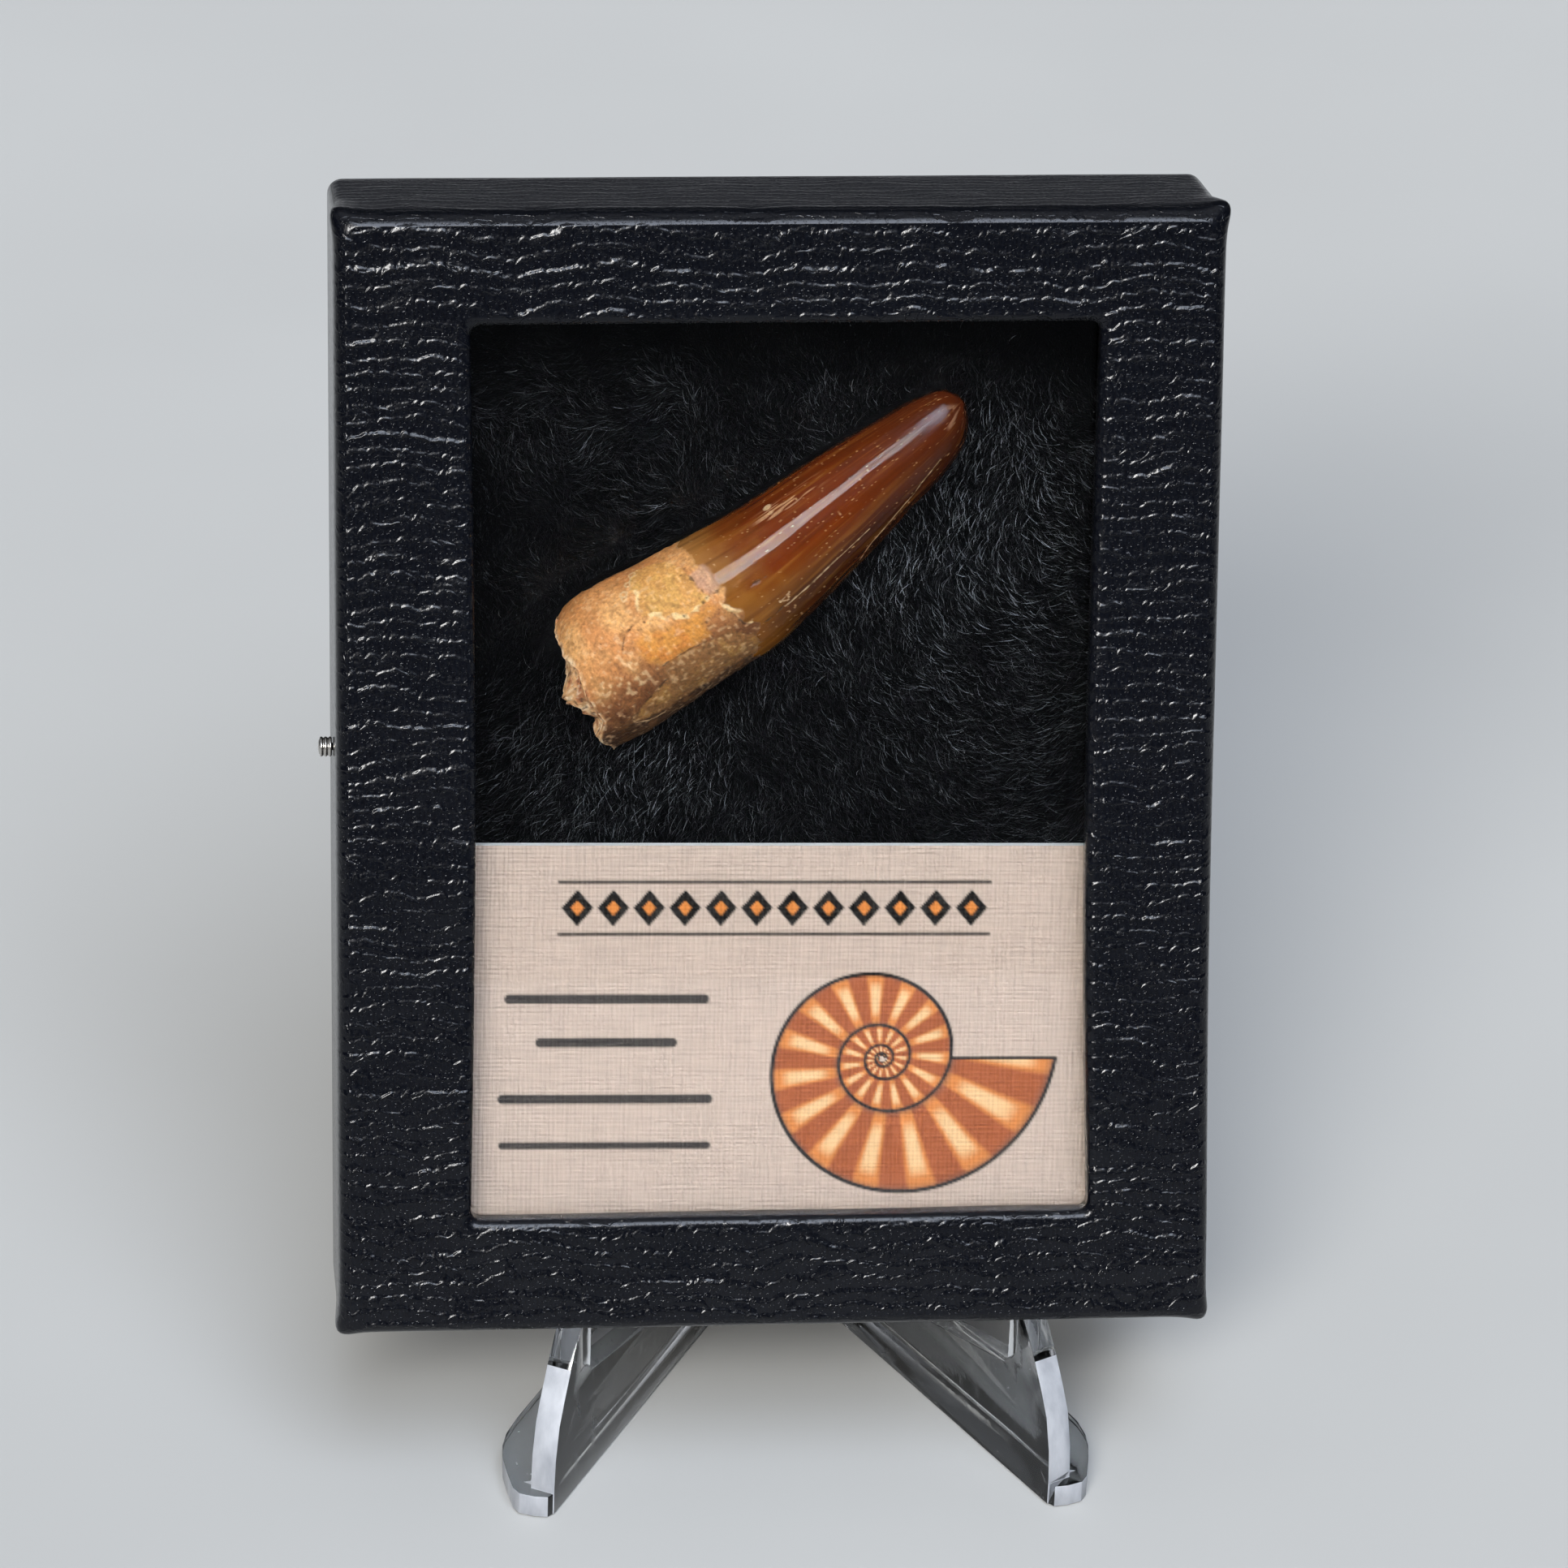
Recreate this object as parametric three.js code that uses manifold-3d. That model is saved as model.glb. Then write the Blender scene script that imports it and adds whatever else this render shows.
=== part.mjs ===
// A fossil dinosaur tooth in a small leatherette display case, leaning on a clear two-piece easel.
// Millimetres, +Z up, the case's window facing -Y, the origin on the ground under the middle.
import * as THREE from 'three';
import { mergeVertices } from 'three/addons/utils/BufferGeometryUtils.js';
import Module from 'manifold-3d';

const wasm = await Module();
wasm.setup();

// ---------- driving dimensions ----------

const CASE_W = 82.6;
const CASE_H = 108;
const CASE_D = 19;
const LEAN_DEG = 15;
const FRONT_EDGE_Z = 20;      // height of the case's lower front edge over the ground
const ORIGIN = [0.375, -24.761, 0];    // moves the whole part so that its box is centred on the origin

const WALL = 1.6;             // covered paperboard
const PANEL = 2.2;            // front of the lid round the window
const EDGE_R = 2.0;           // rounding of the lid's front edges
const SILL_R = 0.9;           // rounding of the window's edges
const RAIL = { left: 12.6, right: 11.7, top: 10.5, bottom: 11.3 };
const RAIL_BOW = 0.45;        // how far the side rails swell into the window at mid height
const FLARE = 0.55;           // how far the right side spreads at its foot
const GAP = 0.3;

const PANE_T = 1.6;
const TRAY_WALL = 1.4;
const TRAY_BACK = 1.5;
const CARD = { width: 75.2, height: 42.6, thick: 1.0, tilt: -0.8, front: 5.2 };
const PAD_FRONT = 8.0;        // depth of the pile's tips behind the lid's face
const PIN = { headR: 0.95, headL: 1.3, shaftR: 0.35, shaftL: 9, y: 9.5 };
const PIN_LEFT_Z = 55.5;
const PIN_RIGHT_Z = 58.5;

const TOOTH = { x: -19.27, y: 10.4, z: 61.5, angle: 35.04, tipRise: 0.7 };
const LEG = { x: 3.27, half: 23.9, y: -1.25, spread: 28.2, web: 2.5, flange: 8.8, flangeT: 2.3 };

// ---------- helpers ----------

const rad = THREE.MathUtils.degToRad;
const lerp = THREE.MathUtils.lerp;

// Eased step from 0 at a to 1 at b; a may be the larger.
function smooth(a, b, x) {
  const t = THREE.MathUtils.clamp((x - a) / (b - a), 0, 1);
  return t * t * (3 - 2 * t);
}

function toManifold(geometry) {
  const g = geometry.clone();
  g.deleteAttribute('normal');
  g.deleteAttribute('uv');
  const merged = mergeVertices(g, 1e-4);
  return new wasm.Manifold(new wasm.Mesh({
    numProp: 3,
    vertProperties: new Float32Array(merged.attributes.position.array),
    triVerts: new Uint32Array(merged.index.array),
  }));
}

function fromManifold(solid) {
  const m = solid.getMesh();
  const g = new THREE.BufferGeometry();
  g.setAttribute('position', new THREE.BufferAttribute(new Float32Array(m.vertProperties), 3));
  g.setIndex(new THREE.BufferAttribute(new Uint32Array(m.triVerts), 1));
  g.computeVertexNormals();
  return g;
}

function flipFaces(g) {
  const index = g.index.array;
  for (let i = 0; i < index.length; i += 3) {
    const keep = index[i];
    index[i] = index[i + 1];
    index[i + 1] = keep;
  }
  return g;
}

// A grid of points [row][column] joined into quads; columns close on themselves.
function loops(rows, { closeRows = false, capStart = false, capEnd = false } = {}) {
  const n = rows[0].length;
  const points = rows.flat();
  const index = [];
  const last = closeRows ? rows.length : rows.length - 1;
  for (let i = 0; i < last; i++) {
    for (let j = 0; j < n; j++) {
      const a = i * n + j;
      const b = i * n + (j + 1) % n;
      const c = ((i + 1) % rows.length) * n + j;
      const d = ((i + 1) % rows.length) * n + (j + 1) % n;
      index.push(a, b, c, b, d, c);
    }
  }
  const cap = (row, turned) => {
    const mid = new THREE.Vector3();
    rows[row].forEach((p) => mid.add(new THREE.Vector3(...p)));
    mid.divideScalar(n);
    const k = points.push(mid.toArray()) - 1;
    for (let j = 0; j < n; j++) {
      const a = row * n + j;
      const b = row * n + (j + 1) % n;
      index.push(...(turned ? [a, b, k] : [a, k, b]));
    }
  };
  if (capStart) cap(0, false);
  if (capEnd) cap(rows.length - 1, true);
  const g = new THREE.BufferGeometry();
  g.setAttribute('position', new THREE.BufferAttribute(new Float32Array(points.flat()), 3));
  g.setIndex(new THREE.BufferAttribute(new Uint32Array(index), 1));
  g.computeVertexNormals();
  return g;
}

function box(x0, x1, y0, y1, z0, z1) {
  const g = new THREE.BoxGeometry(x1 - x0, y1 - y0, z1 - z0);
  return g.translate((x0 + x1) / 2, (y0 + y1) / 2, (z0 + z1) / 2);
}

// A cylinder along X.
function rod(x0, x1, r, y, z, sides = 20) {
  const g = new THREE.CylinderGeometry(r, r, x1 - x0, sides);
  return g.rotateZ(Math.PI / 2).translate((x0 + x1) / 2, y, z);
}

function mesh(name, geometry, color, roughness, metalness = 0, opacity = 1) {
  const material = new THREE.MeshStandardMaterial({
    color, roughness, metalness, opacity, transparent: opacity < 1,
  });
  const m = new THREE.Mesh(geometry, material);
  m.name = name;
  return m;
}

// ---------- the lid ----------

// One loop round the case, inset from its outside by its own amount on each side.
const SIDE_STEPS = 12;
const CORNER_STEPS = 4;

function lidLoop(inset, y, corner, bow = 0) {
  const x0 = -CASE_W / 2 + inset.left;
  const x1 = CASE_W / 2 - inset.right;
  const z0 = inset.bottom;
  const z1 = CASE_H - inset.top;
  const corners = [
    [x1 - corner, z0 + corner, -90], [x1 - corner, z1 - corner, 0],
    [x0 + corner, z1 - corner, 90], [x0 + corner, z0 + corner, 180],
  ];
  const out = [];
  corners.forEach(([cx, cz, from], i) => {
    for (let k = 0; k <= CORNER_STEPS; k++) {
      const a = rad(from + 90 * k / CORNER_STEPS);
      out.push([cx + corner * Math.cos(a), y, cz + corner * Math.sin(a)]);
    }
    const [nx, nz, start] = corners[(i + 1) % 4];
    const a = out[out.length - 1];
    const b = [nx + corner * Math.cos(rad(start)), y, nz + corner * Math.sin(rad(start))];
    for (let k = 1; k < SIDE_STEPS; k++) {
      const t = k / SIDE_STEPS;
      const p = [lerp(a[0], b[0], t), y, lerp(a[2], b[2], t)];
      if (i % 2 === 0) p[0] -= Math.sign(p[0]) * bow * Math.sin(Math.PI * t);
      out.push(p);
    }
  });
  return out.map(([x, py, z]) => [x + (x > 0 ? FLARE * smooth(52, 0, z) ** 1.6 : 0), py, z]);
}

const even = (d) => ({ left: d, right: d, top: d, bottom: d });
const sill = (d) => ({
  left: RAIL.left + d, right: RAIL.right + d, top: RAIL.top + d, bottom: RAIL.bottom + d,
});

function lidGeometry() {
  const rows = [];
  rows.push(lidLoop(even(0.35), CASE_D, 1.2));
  rows.push(lidLoop(even(0), CASE_D - 0.35, 1.4));
  rows.push(lidLoop(even(0), CASE_D * 0.55, 1.4));
  for (const a of [0, 22.5, 45, 67.5, 90]) {
    const d = EDGE_R * (1 - Math.cos(rad(a)));
    rows.push(lidLoop(even(d), EDGE_R * (1 - Math.sin(rad(a))), 1.4));
  }
  rows.push(lidLoop(sill(-SILL_R), 0, 1.0, RAIL_BOW));
  for (const a of [45, 90]) {
    const d = -SILL_R * (1 - Math.sin(rad(a)));
    rows.push(lidLoop(sill(d), SILL_R * (1 - Math.cos(rad(a))), 0.9, RAIL_BOW));
  }
  rows.push(lidLoop(sill(0), PANEL, 0.9, RAIL_BOW));
  rows.push(lidLoop(even(WALL), PANEL, 0.6));
  rows.push(lidLoop(even(WALL), CASE_D, 0.6));
  return loops(rows, { closeRows: true });
}

const PIN_HOLE_R = PIN.shaftR + GAP;
const IN_X = CASE_W / 2 - WALL - GAP;       // half width of what slides inside the lid
const IN_Z0 = WALL + GAP;
const IN_Z1 = CASE_H - WALL - GAP;

function pinHoles() {
  const left = rod(-CASE_W / 2 - 3, -30, PIN_HOLE_R, PIN.y, PIN_LEFT_Z);
  const right = rod(30, CASE_W / 2 + 3, PIN_HOLE_R, PIN.y, PIN_RIGHT_Z);
  const dent = rod(CASE_W / 2 - 0.75, CASE_W / 2 + 3, PIN.headR + 0.25, PIN.y, PIN_RIGHT_Z);
  return toManifold(left).add(toManifold(right)).add(toManifold(dent));
}

const holes = pinHoles();
const lid = fromManifold(toManifold(lidGeometry()).subtract(holes));

// ---------- pane, tray and card ----------

const PANE_Y = PANEL + GAP;
const pane = box(-IN_X, IN_X, PANE_Y, PANE_Y + PANE_T, IN_Z0, IN_Z1);

const TRAY_Y0 = PANE_Y + PANE_T + GAP;
const TRAY_Y1 = CASE_D - 0.1;
const trayInner = TRAY_Y1 - TRAY_BACK;
const HOLD_X = IN_X - TRAY_WALL;            // half width of the tray's hollow
const HOLD_Z0 = IN_Z0 + TRAY_WALL;
const HOLD_Z1 = IN_Z1 - TRAY_WALL;

const tray = fromManifold(
  toManifold(box(-IN_X, IN_X, TRAY_Y0, TRAY_Y1, IN_Z0, IN_Z1))
    .subtract(toManifold(box(-HOLD_X, HOLD_X, TRAY_Y0 - 2, trayInner, HOLD_Z0, HOLD_Z1)))
    .subtract(holes),
);

const card = new THREE.BoxGeometry(CARD.width, CARD.thick, CARD.height);

// ---------- the tooth ----------

// Stations along the tooth's axis: distance from the broken end, sideways shift of the middle, half width.
const STATIONS = [
  [-1.0, -1.9, 6.0], [1.0, -1.7, 6.4], [4.0, -1.25, 7.3], [8.0, -1.3, 7.25], [12.0, -1.6, 7.0],
  [16.0, -1.9, 6.8], [18.5, -2.0, 6.65], [21.0, -1.95, 6.3], [24.5, -1.7, 5.9], [28.0, -1.35, 5.5],
  [32.0, -1.0, 5.05], [36.0, -0.6, 4.45], [39.0, -0.4, 4.05], [41.5, -0.15, 3.6], [43.4, 0.1, 3.0],
  [44.6, 0.4, 2.3], [45.3, 0.55, 1.45], [45.7, 0.6, 0.6],
];
const THICK = 0.79;           // thickness of the tooth over its width

function station(a) {
  const s = STATIONS;
  if (a <= s[0][0]) return [s[0][1], s[0][2]];
  const i = Math.min(s.findIndex((row) => row[0] >= a), s.length - 1);
  if (i < 0) return [s[s.length - 1][1], s[s.length - 1][2]];
  const p = s[Math.max(i - 2, 0)];
  const q = s[i - 1];
  const r = s[i];
  const t = s[Math.min(i + 1, s.length - 1)];
  const u = (a - q[0]) / (r[0] - q[0]);
  const cubic = (k) => {
    const m0 = (r[k] - p[k]) / (r[0] - p[0] || 1) * (r[0] - q[0]);
    const m1 = (t[k] - q[k]) / (t[0] - q[0] || 1) * (r[0] - q[0]);
    const u2 = u * u;
    const u3 = u2 * u;
    return (2 * u3 - 3 * u2 + 1) * q[k] + (u3 - 2 * u2 + u) * m0 + (3 * u2 - 2 * u3) * r[k] + (u3 - u2) * m1;
  };
  return [cubic(1), cubic(2)];
}

const toothMid = (a) => TOOTH.y - TOOTH.tipRise * smooth(10, 45, a);

// Ragged line round the tooth where the enamel ends; angle 0 is the upper side, 90 the front.
const enamelEdge = (t) => 14.2 + 1.9 * Math.sin(t * 2 + 0.6) + 1.1 * Math.sin(t * 5 + 1.2)
  + 0.6 * Math.sin(t * 11);

function relief(a, t) {
  const step = 0.2 * smooth(-0.5, 0.5, a - enamelEdge(t));
  const fine = 0.05 * Math.sin(t * 23 + 0.35 * Math.sin(a * 0.7)) * smooth(15, 20, a) * smooth(45, 38, a);
  const rough = 0.09 * Math.sin(a * 2.3 + 3 * Math.sin(t * 3)) * Math.sin(t * 7 + a) * smooth(14, 10, a);
  return step + fine + rough - 0.2;
}

// Broken end: the near wall is chipped back, the far wall stands a little further out.
const brokenEnd = (t) => -0.3 + 0.9 * Math.sin(t - 0.15) + 0.35 * Math.sin(3 * t + 1) + 0.3 * Math.sin(7 * t);

function toothGeometry() {
  const around = 48;
  const along = 50;
  const rows = [];
  const ring = (a, scale, shrink = 0) => {
    const row = [];
    for (let j = 0; j < around; j++) {
      const t = 2 * Math.PI * j / around;
      const start = brokenEnd(t);
      const at = a + start * smooth(9, 0, a);
      const [mid, half] = station(at);
      const r = (half + relief(at, t)) * scale - shrink;
      const n = mid + r * Math.cos(t);
      row.push([at, toothMid(at) - r * THICK * Math.sin(t), n]);
    }
    return row;
  };
  // the hollow of the root, from its floor out to the broken rim
  rows.push(ring(6.0, 0.16));
  rows.push(ring(5.2, 0.36));
  rows.push(ring(3.4, 0.48));
  rows.push(ring(1.4, 0.56));
  rows.push(ring(0.15, 0.63));
  rows.push(ring(-0.1, 0.8));
  rows.push(ring(0.0, 0.94));
  for (let i = 0; i <= along; i++) {
    const u = i / along;
    const a = 0.5 + 45.1 * (u < 0.85 ? u : 0.85 + 0.15 * Math.sin((u - 0.85) / 0.15 * Math.PI / 2));
    rows.push(ring(a, 1));
  }
  const g = loops(rows, { capStart: true, capEnd: true });
  // local axes: X along the tooth, Z its upper side; turned into the case
  return g.rotateY(-rad(TOOTH.angle)).translate(TOOTH.x, 0, TOOTH.z);
}

const tooth = toothGeometry();

// ---------- the pile pad ----------

function toothFrame(x, z) {
  const c = Math.cos(rad(TOOTH.angle));
  const s = Math.sin(rad(TOOTH.angle));
  return [(x - TOOTH.x) * c + (z - TOOTH.z) * s, -(x - TOOTH.x) * s + (z - TOOTH.z) * c];
}

function padDepth(x, z) {
  const swell = 0.35 * Math.sin(x * 0.13 + 1.1) * Math.sin(z * 0.11) + 0.2 * Math.sin(x * 0.31 + z * 0.17);
  const card = smooth(58, 47, z);
  let y = PAD_FRONT + swell * (1 - card) + 0.4 * smooth(70, 100, z) - 0.9 * card;
  y = Math.max(y, PAD_FRONT - 1.2);
  const [a, n] = toothFrame(x, z);
  const at = Math.min(Math.max(a, 0), 45.2);
  const [mid, half] = station(at);
  const end = Math.max(-1.6 - a, a - 45.2, 0);
  const side = Math.max(Math.abs(n - mid) - half, 0);
  const away = Math.hypot(end, side);
  const middle = toothMid(at);
  if (away <= 0) {
    const q = Math.min(Math.abs(n - mid) / half, 1);
    return middle + half * THICK * Math.sqrt(1 - q * q) * 0.98 + 0.75;
  }
  return lerp(middle + 1.1, y, smooth(0.6, 4.6, away));
}

function padGeometry() {
  const nx = 32;
  const nz = 44;
  const x0 = -HOLD_X + 0.4;
  const x1 = HOLD_X - 0.4;
  const z0 = HOLD_Z0 + 0.4;
  const z1 = HOLD_Z1 - 0.4;
  const back = trayInner - 0.3;
  const points = [];
  const index = [];
  const at = (i, k) => i * (nz + 1) + k;
  for (let i = 0; i <= nx; i++) {
    for (let k = 0; k <= nz; k++) {
      const x = lerp(x0, x1, i / nx);
      const z = lerp(z0, z1, k / nz);
      points.push(x, Math.min(padDepth(x, z), back - 0.35), z);
    }
  }
  for (let i = 0; i < nx; i++) {
    for (let k = 0; k < nz; k++) {
      const a = at(i, k);
      const b = at(i + 1, k);
      const c = at(i + 1, k + 1);
      const d = at(i, k + 1);
      index.push(a, b, c, a, c, d);
    }
  }
  // rim down to the flat back
  const rim = [];
  for (let i = 0; i < nx; i++) rim.push(at(i, 0));
  for (let k = 0; k < nz; k++) rim.push(at(nx, k));
  for (let i = nx; i > 0; i--) rim.push(at(i, nz));
  for (let k = nz; k > 0; k--) rim.push(at(0, k));
  const first = points.length / 3;
  rim.forEach((p) => points.push(points[3 * p], back, points[3 * p + 2]));
  const centre = points.length / 3;
  points.push(0, back, (z0 + z1) / 2);
  rim.forEach((p, m) => {
    const q = rim[(m + 1) % rim.length];
    const a = first + m;
    const b = first + (m + 1) % rim.length;
    index.push(p, a, q, q, a, b);
    index.push(a, centre, b);
  });
  const g = new THREE.BufferGeometry();
  g.setAttribute('position', new THREE.BufferAttribute(new Float32Array(points), 3));
  g.setIndex(index);
  g.computeVertexNormals();
  return g;
}

const pinRoom = toManifold(rod(-HOLD_X - 2, -CASE_W / 2 + PIN.shaftL + 1, 0.8, PIN.y, PIN_LEFT_Z))
  .add(toManifold(rod(CASE_W / 2 - PIN.shaftL - 1.5, HOLD_X + 2, 0.8, PIN.y, PIN_RIGHT_Z)));
// a plain, slightly larger tooth presses its own bed into the pile
function bedGeometry() {
  const around = 32;
  const rows = [-2.6, -2.3, 1, 4, 8, 12, 16, 20, 24, 28, 32, 36, 39, 41.5, 43.4, 44.6, 45.5, 46.1].map((a) => {
    const [mid, half] = station(a);
    const r = a < -2.5 || a > 46 ? 0.3 : half + 0.75;
    const row = [];
    for (let j = 0; j < around; j++) {
      const t = 2 * Math.PI * j / around;
      row.push([a, toothMid(a) - (r * THICK + 0.1) * Math.sin(t), mid + r * Math.cos(t)]);
    }
    return row;
  });
  const g = loops(rows, { capStart: true, capEnd: true });
  return g.rotateY(-rad(TOOTH.angle)).translate(TOOTH.x, 0, TOOTH.z);
}

const pad = fromManifold(
  toManifold(padGeometry()).subtract(pinRoom).subtract(toManifold(bedGeometry())),
);

// ---------- the pins ----------

// Turned profile along +X: a ribbed round head, then the shaft with its point.
function pinGeometry() {
  const r = PIN.headR;
  const profile = [
    [0, -PIN.headL], [0.55 * r, -PIN.headL], [0.86 * r, -PIN.headL + 0.12], [r, -PIN.headL + 0.34],
    [0.84 * r, -PIN.headL + 0.48], [r, -PIN.headL + 0.62], [r, -PIN.headL + 0.8],
    [0.84 * r, -PIN.headL + 0.94], [r, -PIN.headL + 1.08], [r, -0.05], [0.9 * r, 0],
    [PIN.shaftR, 0], [PIN.shaftR, PIN.shaftL - 1.5], [0, PIN.shaftL],
  ];
  const g = new THREE.LatheGeometry(profile.map(([x, y]) => new THREE.Vector2(x, y)), 20);
  return g.rotateZ(-Math.PI / 2);
}

// ---------- the easel ----------

// Side view of a leg's upright web: distance back along the leg, height.
const WEB = [
  [0, 0], [0, 3], [0.2, 6], [0.9, 9.5], [1.9, 11.8], [3.3, 14.6], [4.7, 17.0], [5.75, 18.45],
  [6.2, 18.58], [7.75, 18.2], [7.8, 12.5], [8.4, 11.7], [22.9, 8.7], [23.7, 8.9], [24.05, 9.6],
  [30.1, 34.5], [36.2, 59.6], [36.7, 61.5], [38.0, 62.8], [39.7, 62.6], [40.9, 61.2], [42.2, 54],
  [44.2, 43], [46.6, 33], [49.4, 24.5], [52.2, 18], [54.8, 13], [57.0, 8], [58.2, 3.5], [58.2, 0.8],
  [57.4, 0],
];
// Plan of the foot flange: distance back along the leg, distance outwards.
const FLANGE = [
  [0, 0.1], [-0.7, 0.35], [-1.15, 1.6], [-1.3, 3.1], [-0.75, 4.0], [1.4, 5.7], [3.4, 7.1], [5.2, 8.0],
  [7.4, 8.6], [10.5, 8.8], [38, 8.8], [40.5, 8.1], [42.6, 6.2], [43.6, 3.6], [43.8, 0.1],
];
const CROSS = LEG.half / Math.sin(rad(LEG.spread));
const CROSS_Z = 9.5;          // height of the halved joint's floor

function extruded(outline, depth) {
  const shape = new THREE.Shape(outline.map(([x, y]) => new THREE.Vector2(x, y)));
  return new THREE.ExtrudeGeometry(shape, { depth, bevelEnabled: false, steps: 1 });
}

// Leg in its own axes: X back along the leg, -Y outwards, Z up.
function legSolid(slotFrom, slotTo) {
  const web = toManifold(extruded(WEB, LEG.web).rotateX(Math.PI / 2));
  const flangePlan = FLANGE.map(([s, t]) => [s, -t]).reverse();
  const flange = toManifold(extruded(flangePlan, LEG.flangeT));
  const filletPlan = [[0, 0], [1.2, 0], [0.35, 0.35], [0, 1.2]];
  const fillet = extruded(filletPlan, 42);
  fillet.applyMatrix4(new THREE.Matrix4().makeBasis(
    new THREE.Vector3(0, -1, 0), new THREE.Vector3(0, 0, 1), new THREE.Vector3(-1, 0, 0),
  ));
  fillet.translate(42.6, -LEG.web + 0.01, LEG.flangeT - 0.01);
  let solid = web.add(flange).add(toManifold(fillet));
  // slot for the other leg's web, which crosses at twice the spread
  const slot = box(-30, 30, -GAP, LEG.web + GAP, slotFrom, slotTo);
  slot.rotateZ(-rad(2 * LEG.spread)).translate(CROSS, 0, 0);
  solid = solid.subtract(toManifold(slot));
  return fromManifold(solid);
}

// ---------- scene graph ----------

const root = new THREE.Group();
root.position.set(...ORIGIN);

const display = new THREE.Group();
display.position.set(0, 0, FRONT_EDGE_Z);
display.rotation.x = -rad(LEAN_DEG);
root.add(display);

display.add(mesh('case_lid', lid, 0x15171b, 0.5));
display.add(mesh('case_tray', tray, 0x121316, 0.6));
display.add(mesh('window_pane', pane, 0xf4f8fa, 0.05, 0, 0.25));
display.add(mesh('fur_pad', pad, 0x0b0c0e, 0.95));
display.add(mesh('fossil_tooth', tooth, 0x8a4a1f, 0.35));

const label = mesh('label_card', card, 0xdccbbd, 0.85);
label.position.set(0, CARD.front + CARD.thick / 2, 46.55 - CARD.height / 2);
label.rotation.y = -rad(CARD.tilt);
display.add(label);

const pinLeft = mesh('pin_left', pinGeometry(), 0xb9bcc0, 0.25, 1);
pinLeft.position.set(-CASE_W / 2 - 0.1, PIN.y, PIN_LEFT_Z);
display.add(pinLeft);

const pinRight = mesh('pin_right', pinGeometry(), 0xb9bcc0, 0.25, 1);
pinRight.position.set(CASE_W / 2 - 0.75 + 0.1, PIN.y, PIN_RIGHT_Z);
pinRight.rotation.z = Math.PI;
display.add(pinRight);

// The right leg's geometry points outwards along -Y; the left one is its mirror image.
const right = mesh('easel_right', legSolid(-1, CROSS_Z), 0xe9edf0, 0.1, 0, 0.35);
right.position.set(LEG.x + LEG.half, LEG.y, 0);
right.rotation.z = rad(90 + LEG.spread);
root.add(right);

const leftGeometry = legSolid(CROSS_Z - GAP, 80).applyMatrix4(new THREE.Matrix4().makeScale(1, -1, 1));
const left = mesh('easel_left', flipFaces(leftGeometry), 0xe9edf0, 0.1, 0, 0.35);
left.position.set(LEG.x - LEG.half, LEG.y, 0);
left.rotation.z = rad(90 - LEG.spread);
root.add(left);

export default root;
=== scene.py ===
# %% [markdown]
# # A fossil tooth in its display case
#
# The real object is a conical reptile tooth, lying on a black pile pad inside a small window case. The case
# is paperboard wrapped in leatherette paper, a card label stands below the tooth, two nickel pins hold the
# lid, and the whole case leans on two clear moulded legs.
#
# The solid model already has every piece at its real size. This lesson dresses it: each cell makes one piece
# or one finish, and says what the real one is and why it is made this way here.

# %% Load the solid model
from math import cos, pi, radians, sin, tau

import bmesh
import bpy
import numpy as np
from mathutils import Matrix, Vector


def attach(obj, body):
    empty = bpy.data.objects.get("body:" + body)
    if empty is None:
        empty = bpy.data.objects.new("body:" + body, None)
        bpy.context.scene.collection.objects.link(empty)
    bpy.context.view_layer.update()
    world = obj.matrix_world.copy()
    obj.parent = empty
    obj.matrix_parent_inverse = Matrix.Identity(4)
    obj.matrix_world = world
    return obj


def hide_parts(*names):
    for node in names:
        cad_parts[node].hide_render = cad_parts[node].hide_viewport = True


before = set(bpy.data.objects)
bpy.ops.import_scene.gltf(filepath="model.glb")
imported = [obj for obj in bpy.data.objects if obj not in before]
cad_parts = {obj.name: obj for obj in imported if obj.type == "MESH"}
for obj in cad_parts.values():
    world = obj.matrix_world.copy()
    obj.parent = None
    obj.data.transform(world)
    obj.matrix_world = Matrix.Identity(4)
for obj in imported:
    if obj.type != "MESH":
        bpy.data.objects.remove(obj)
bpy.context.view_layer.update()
print("nodes:", ", ".join(sorted(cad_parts)))

# %% [markdown]
# ## Case space
# Most pieces belong to the leaning case, and they are easiest to describe in its own directions, in
# millimetres: x to the right along its face, y back into its depth, z up its face. One function turns such
# points into the metres of the model.

# %% Case space
MM = 0.001
LEAN = radians(15)
LOWER_EDGE = 20.0                  # height of the case's lower front edge
SHIFT_X, SHIFT_Y = 0.375, -24.761  # the model is centred on its own box
CASE_W, CASE_H, CASE_D = 82.6, 108.0, 19.0


def from_case(points):
    """Case millimetres to model metres."""
    x, y, z = np.moveaxis(np.asarray(points, float), -1, 0)
    out = (x + SHIFT_X, y * cos(LEAN) + z * sin(LEAN) + SHIFT_Y, LOWER_EDGE - y * sin(LEAN) + z * cos(LEAN))
    return np.stack(out, -1) * MM


print("case corner:", np.round(from_case((CASE_W / 2, 0, CASE_H)), 4))

# %% [markdown]
# ## Small tools
# A colour is written as the hex value that a painter would pick, and the renderer wants it linear, so one
# function converts it. A second one adds a shader node with its settings and links in one line, which keeps
# a material readable as a recipe. The others make a mesh from a grid of points and give smooth noise.


# %% Colours and nodes
def srgb(code, alpha=1.0):
    """'#rrggbb' to linear RGBA."""
    values = [int(code[i:i + 2], 16) / 255 for i in (1, 3, 5)]
    return (*[v / 12.92 if v <= 0.04045 else ((v + 0.055) / 1.055) ** 2.4 for v in values], alpha)


def first_output(source):
    """A node gives its first live output; a socket or a plain value stays as it is."""
    return next(s for s in source.outputs if s.enabled) if isinstance(source, bpy.types.Node) else source


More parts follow.
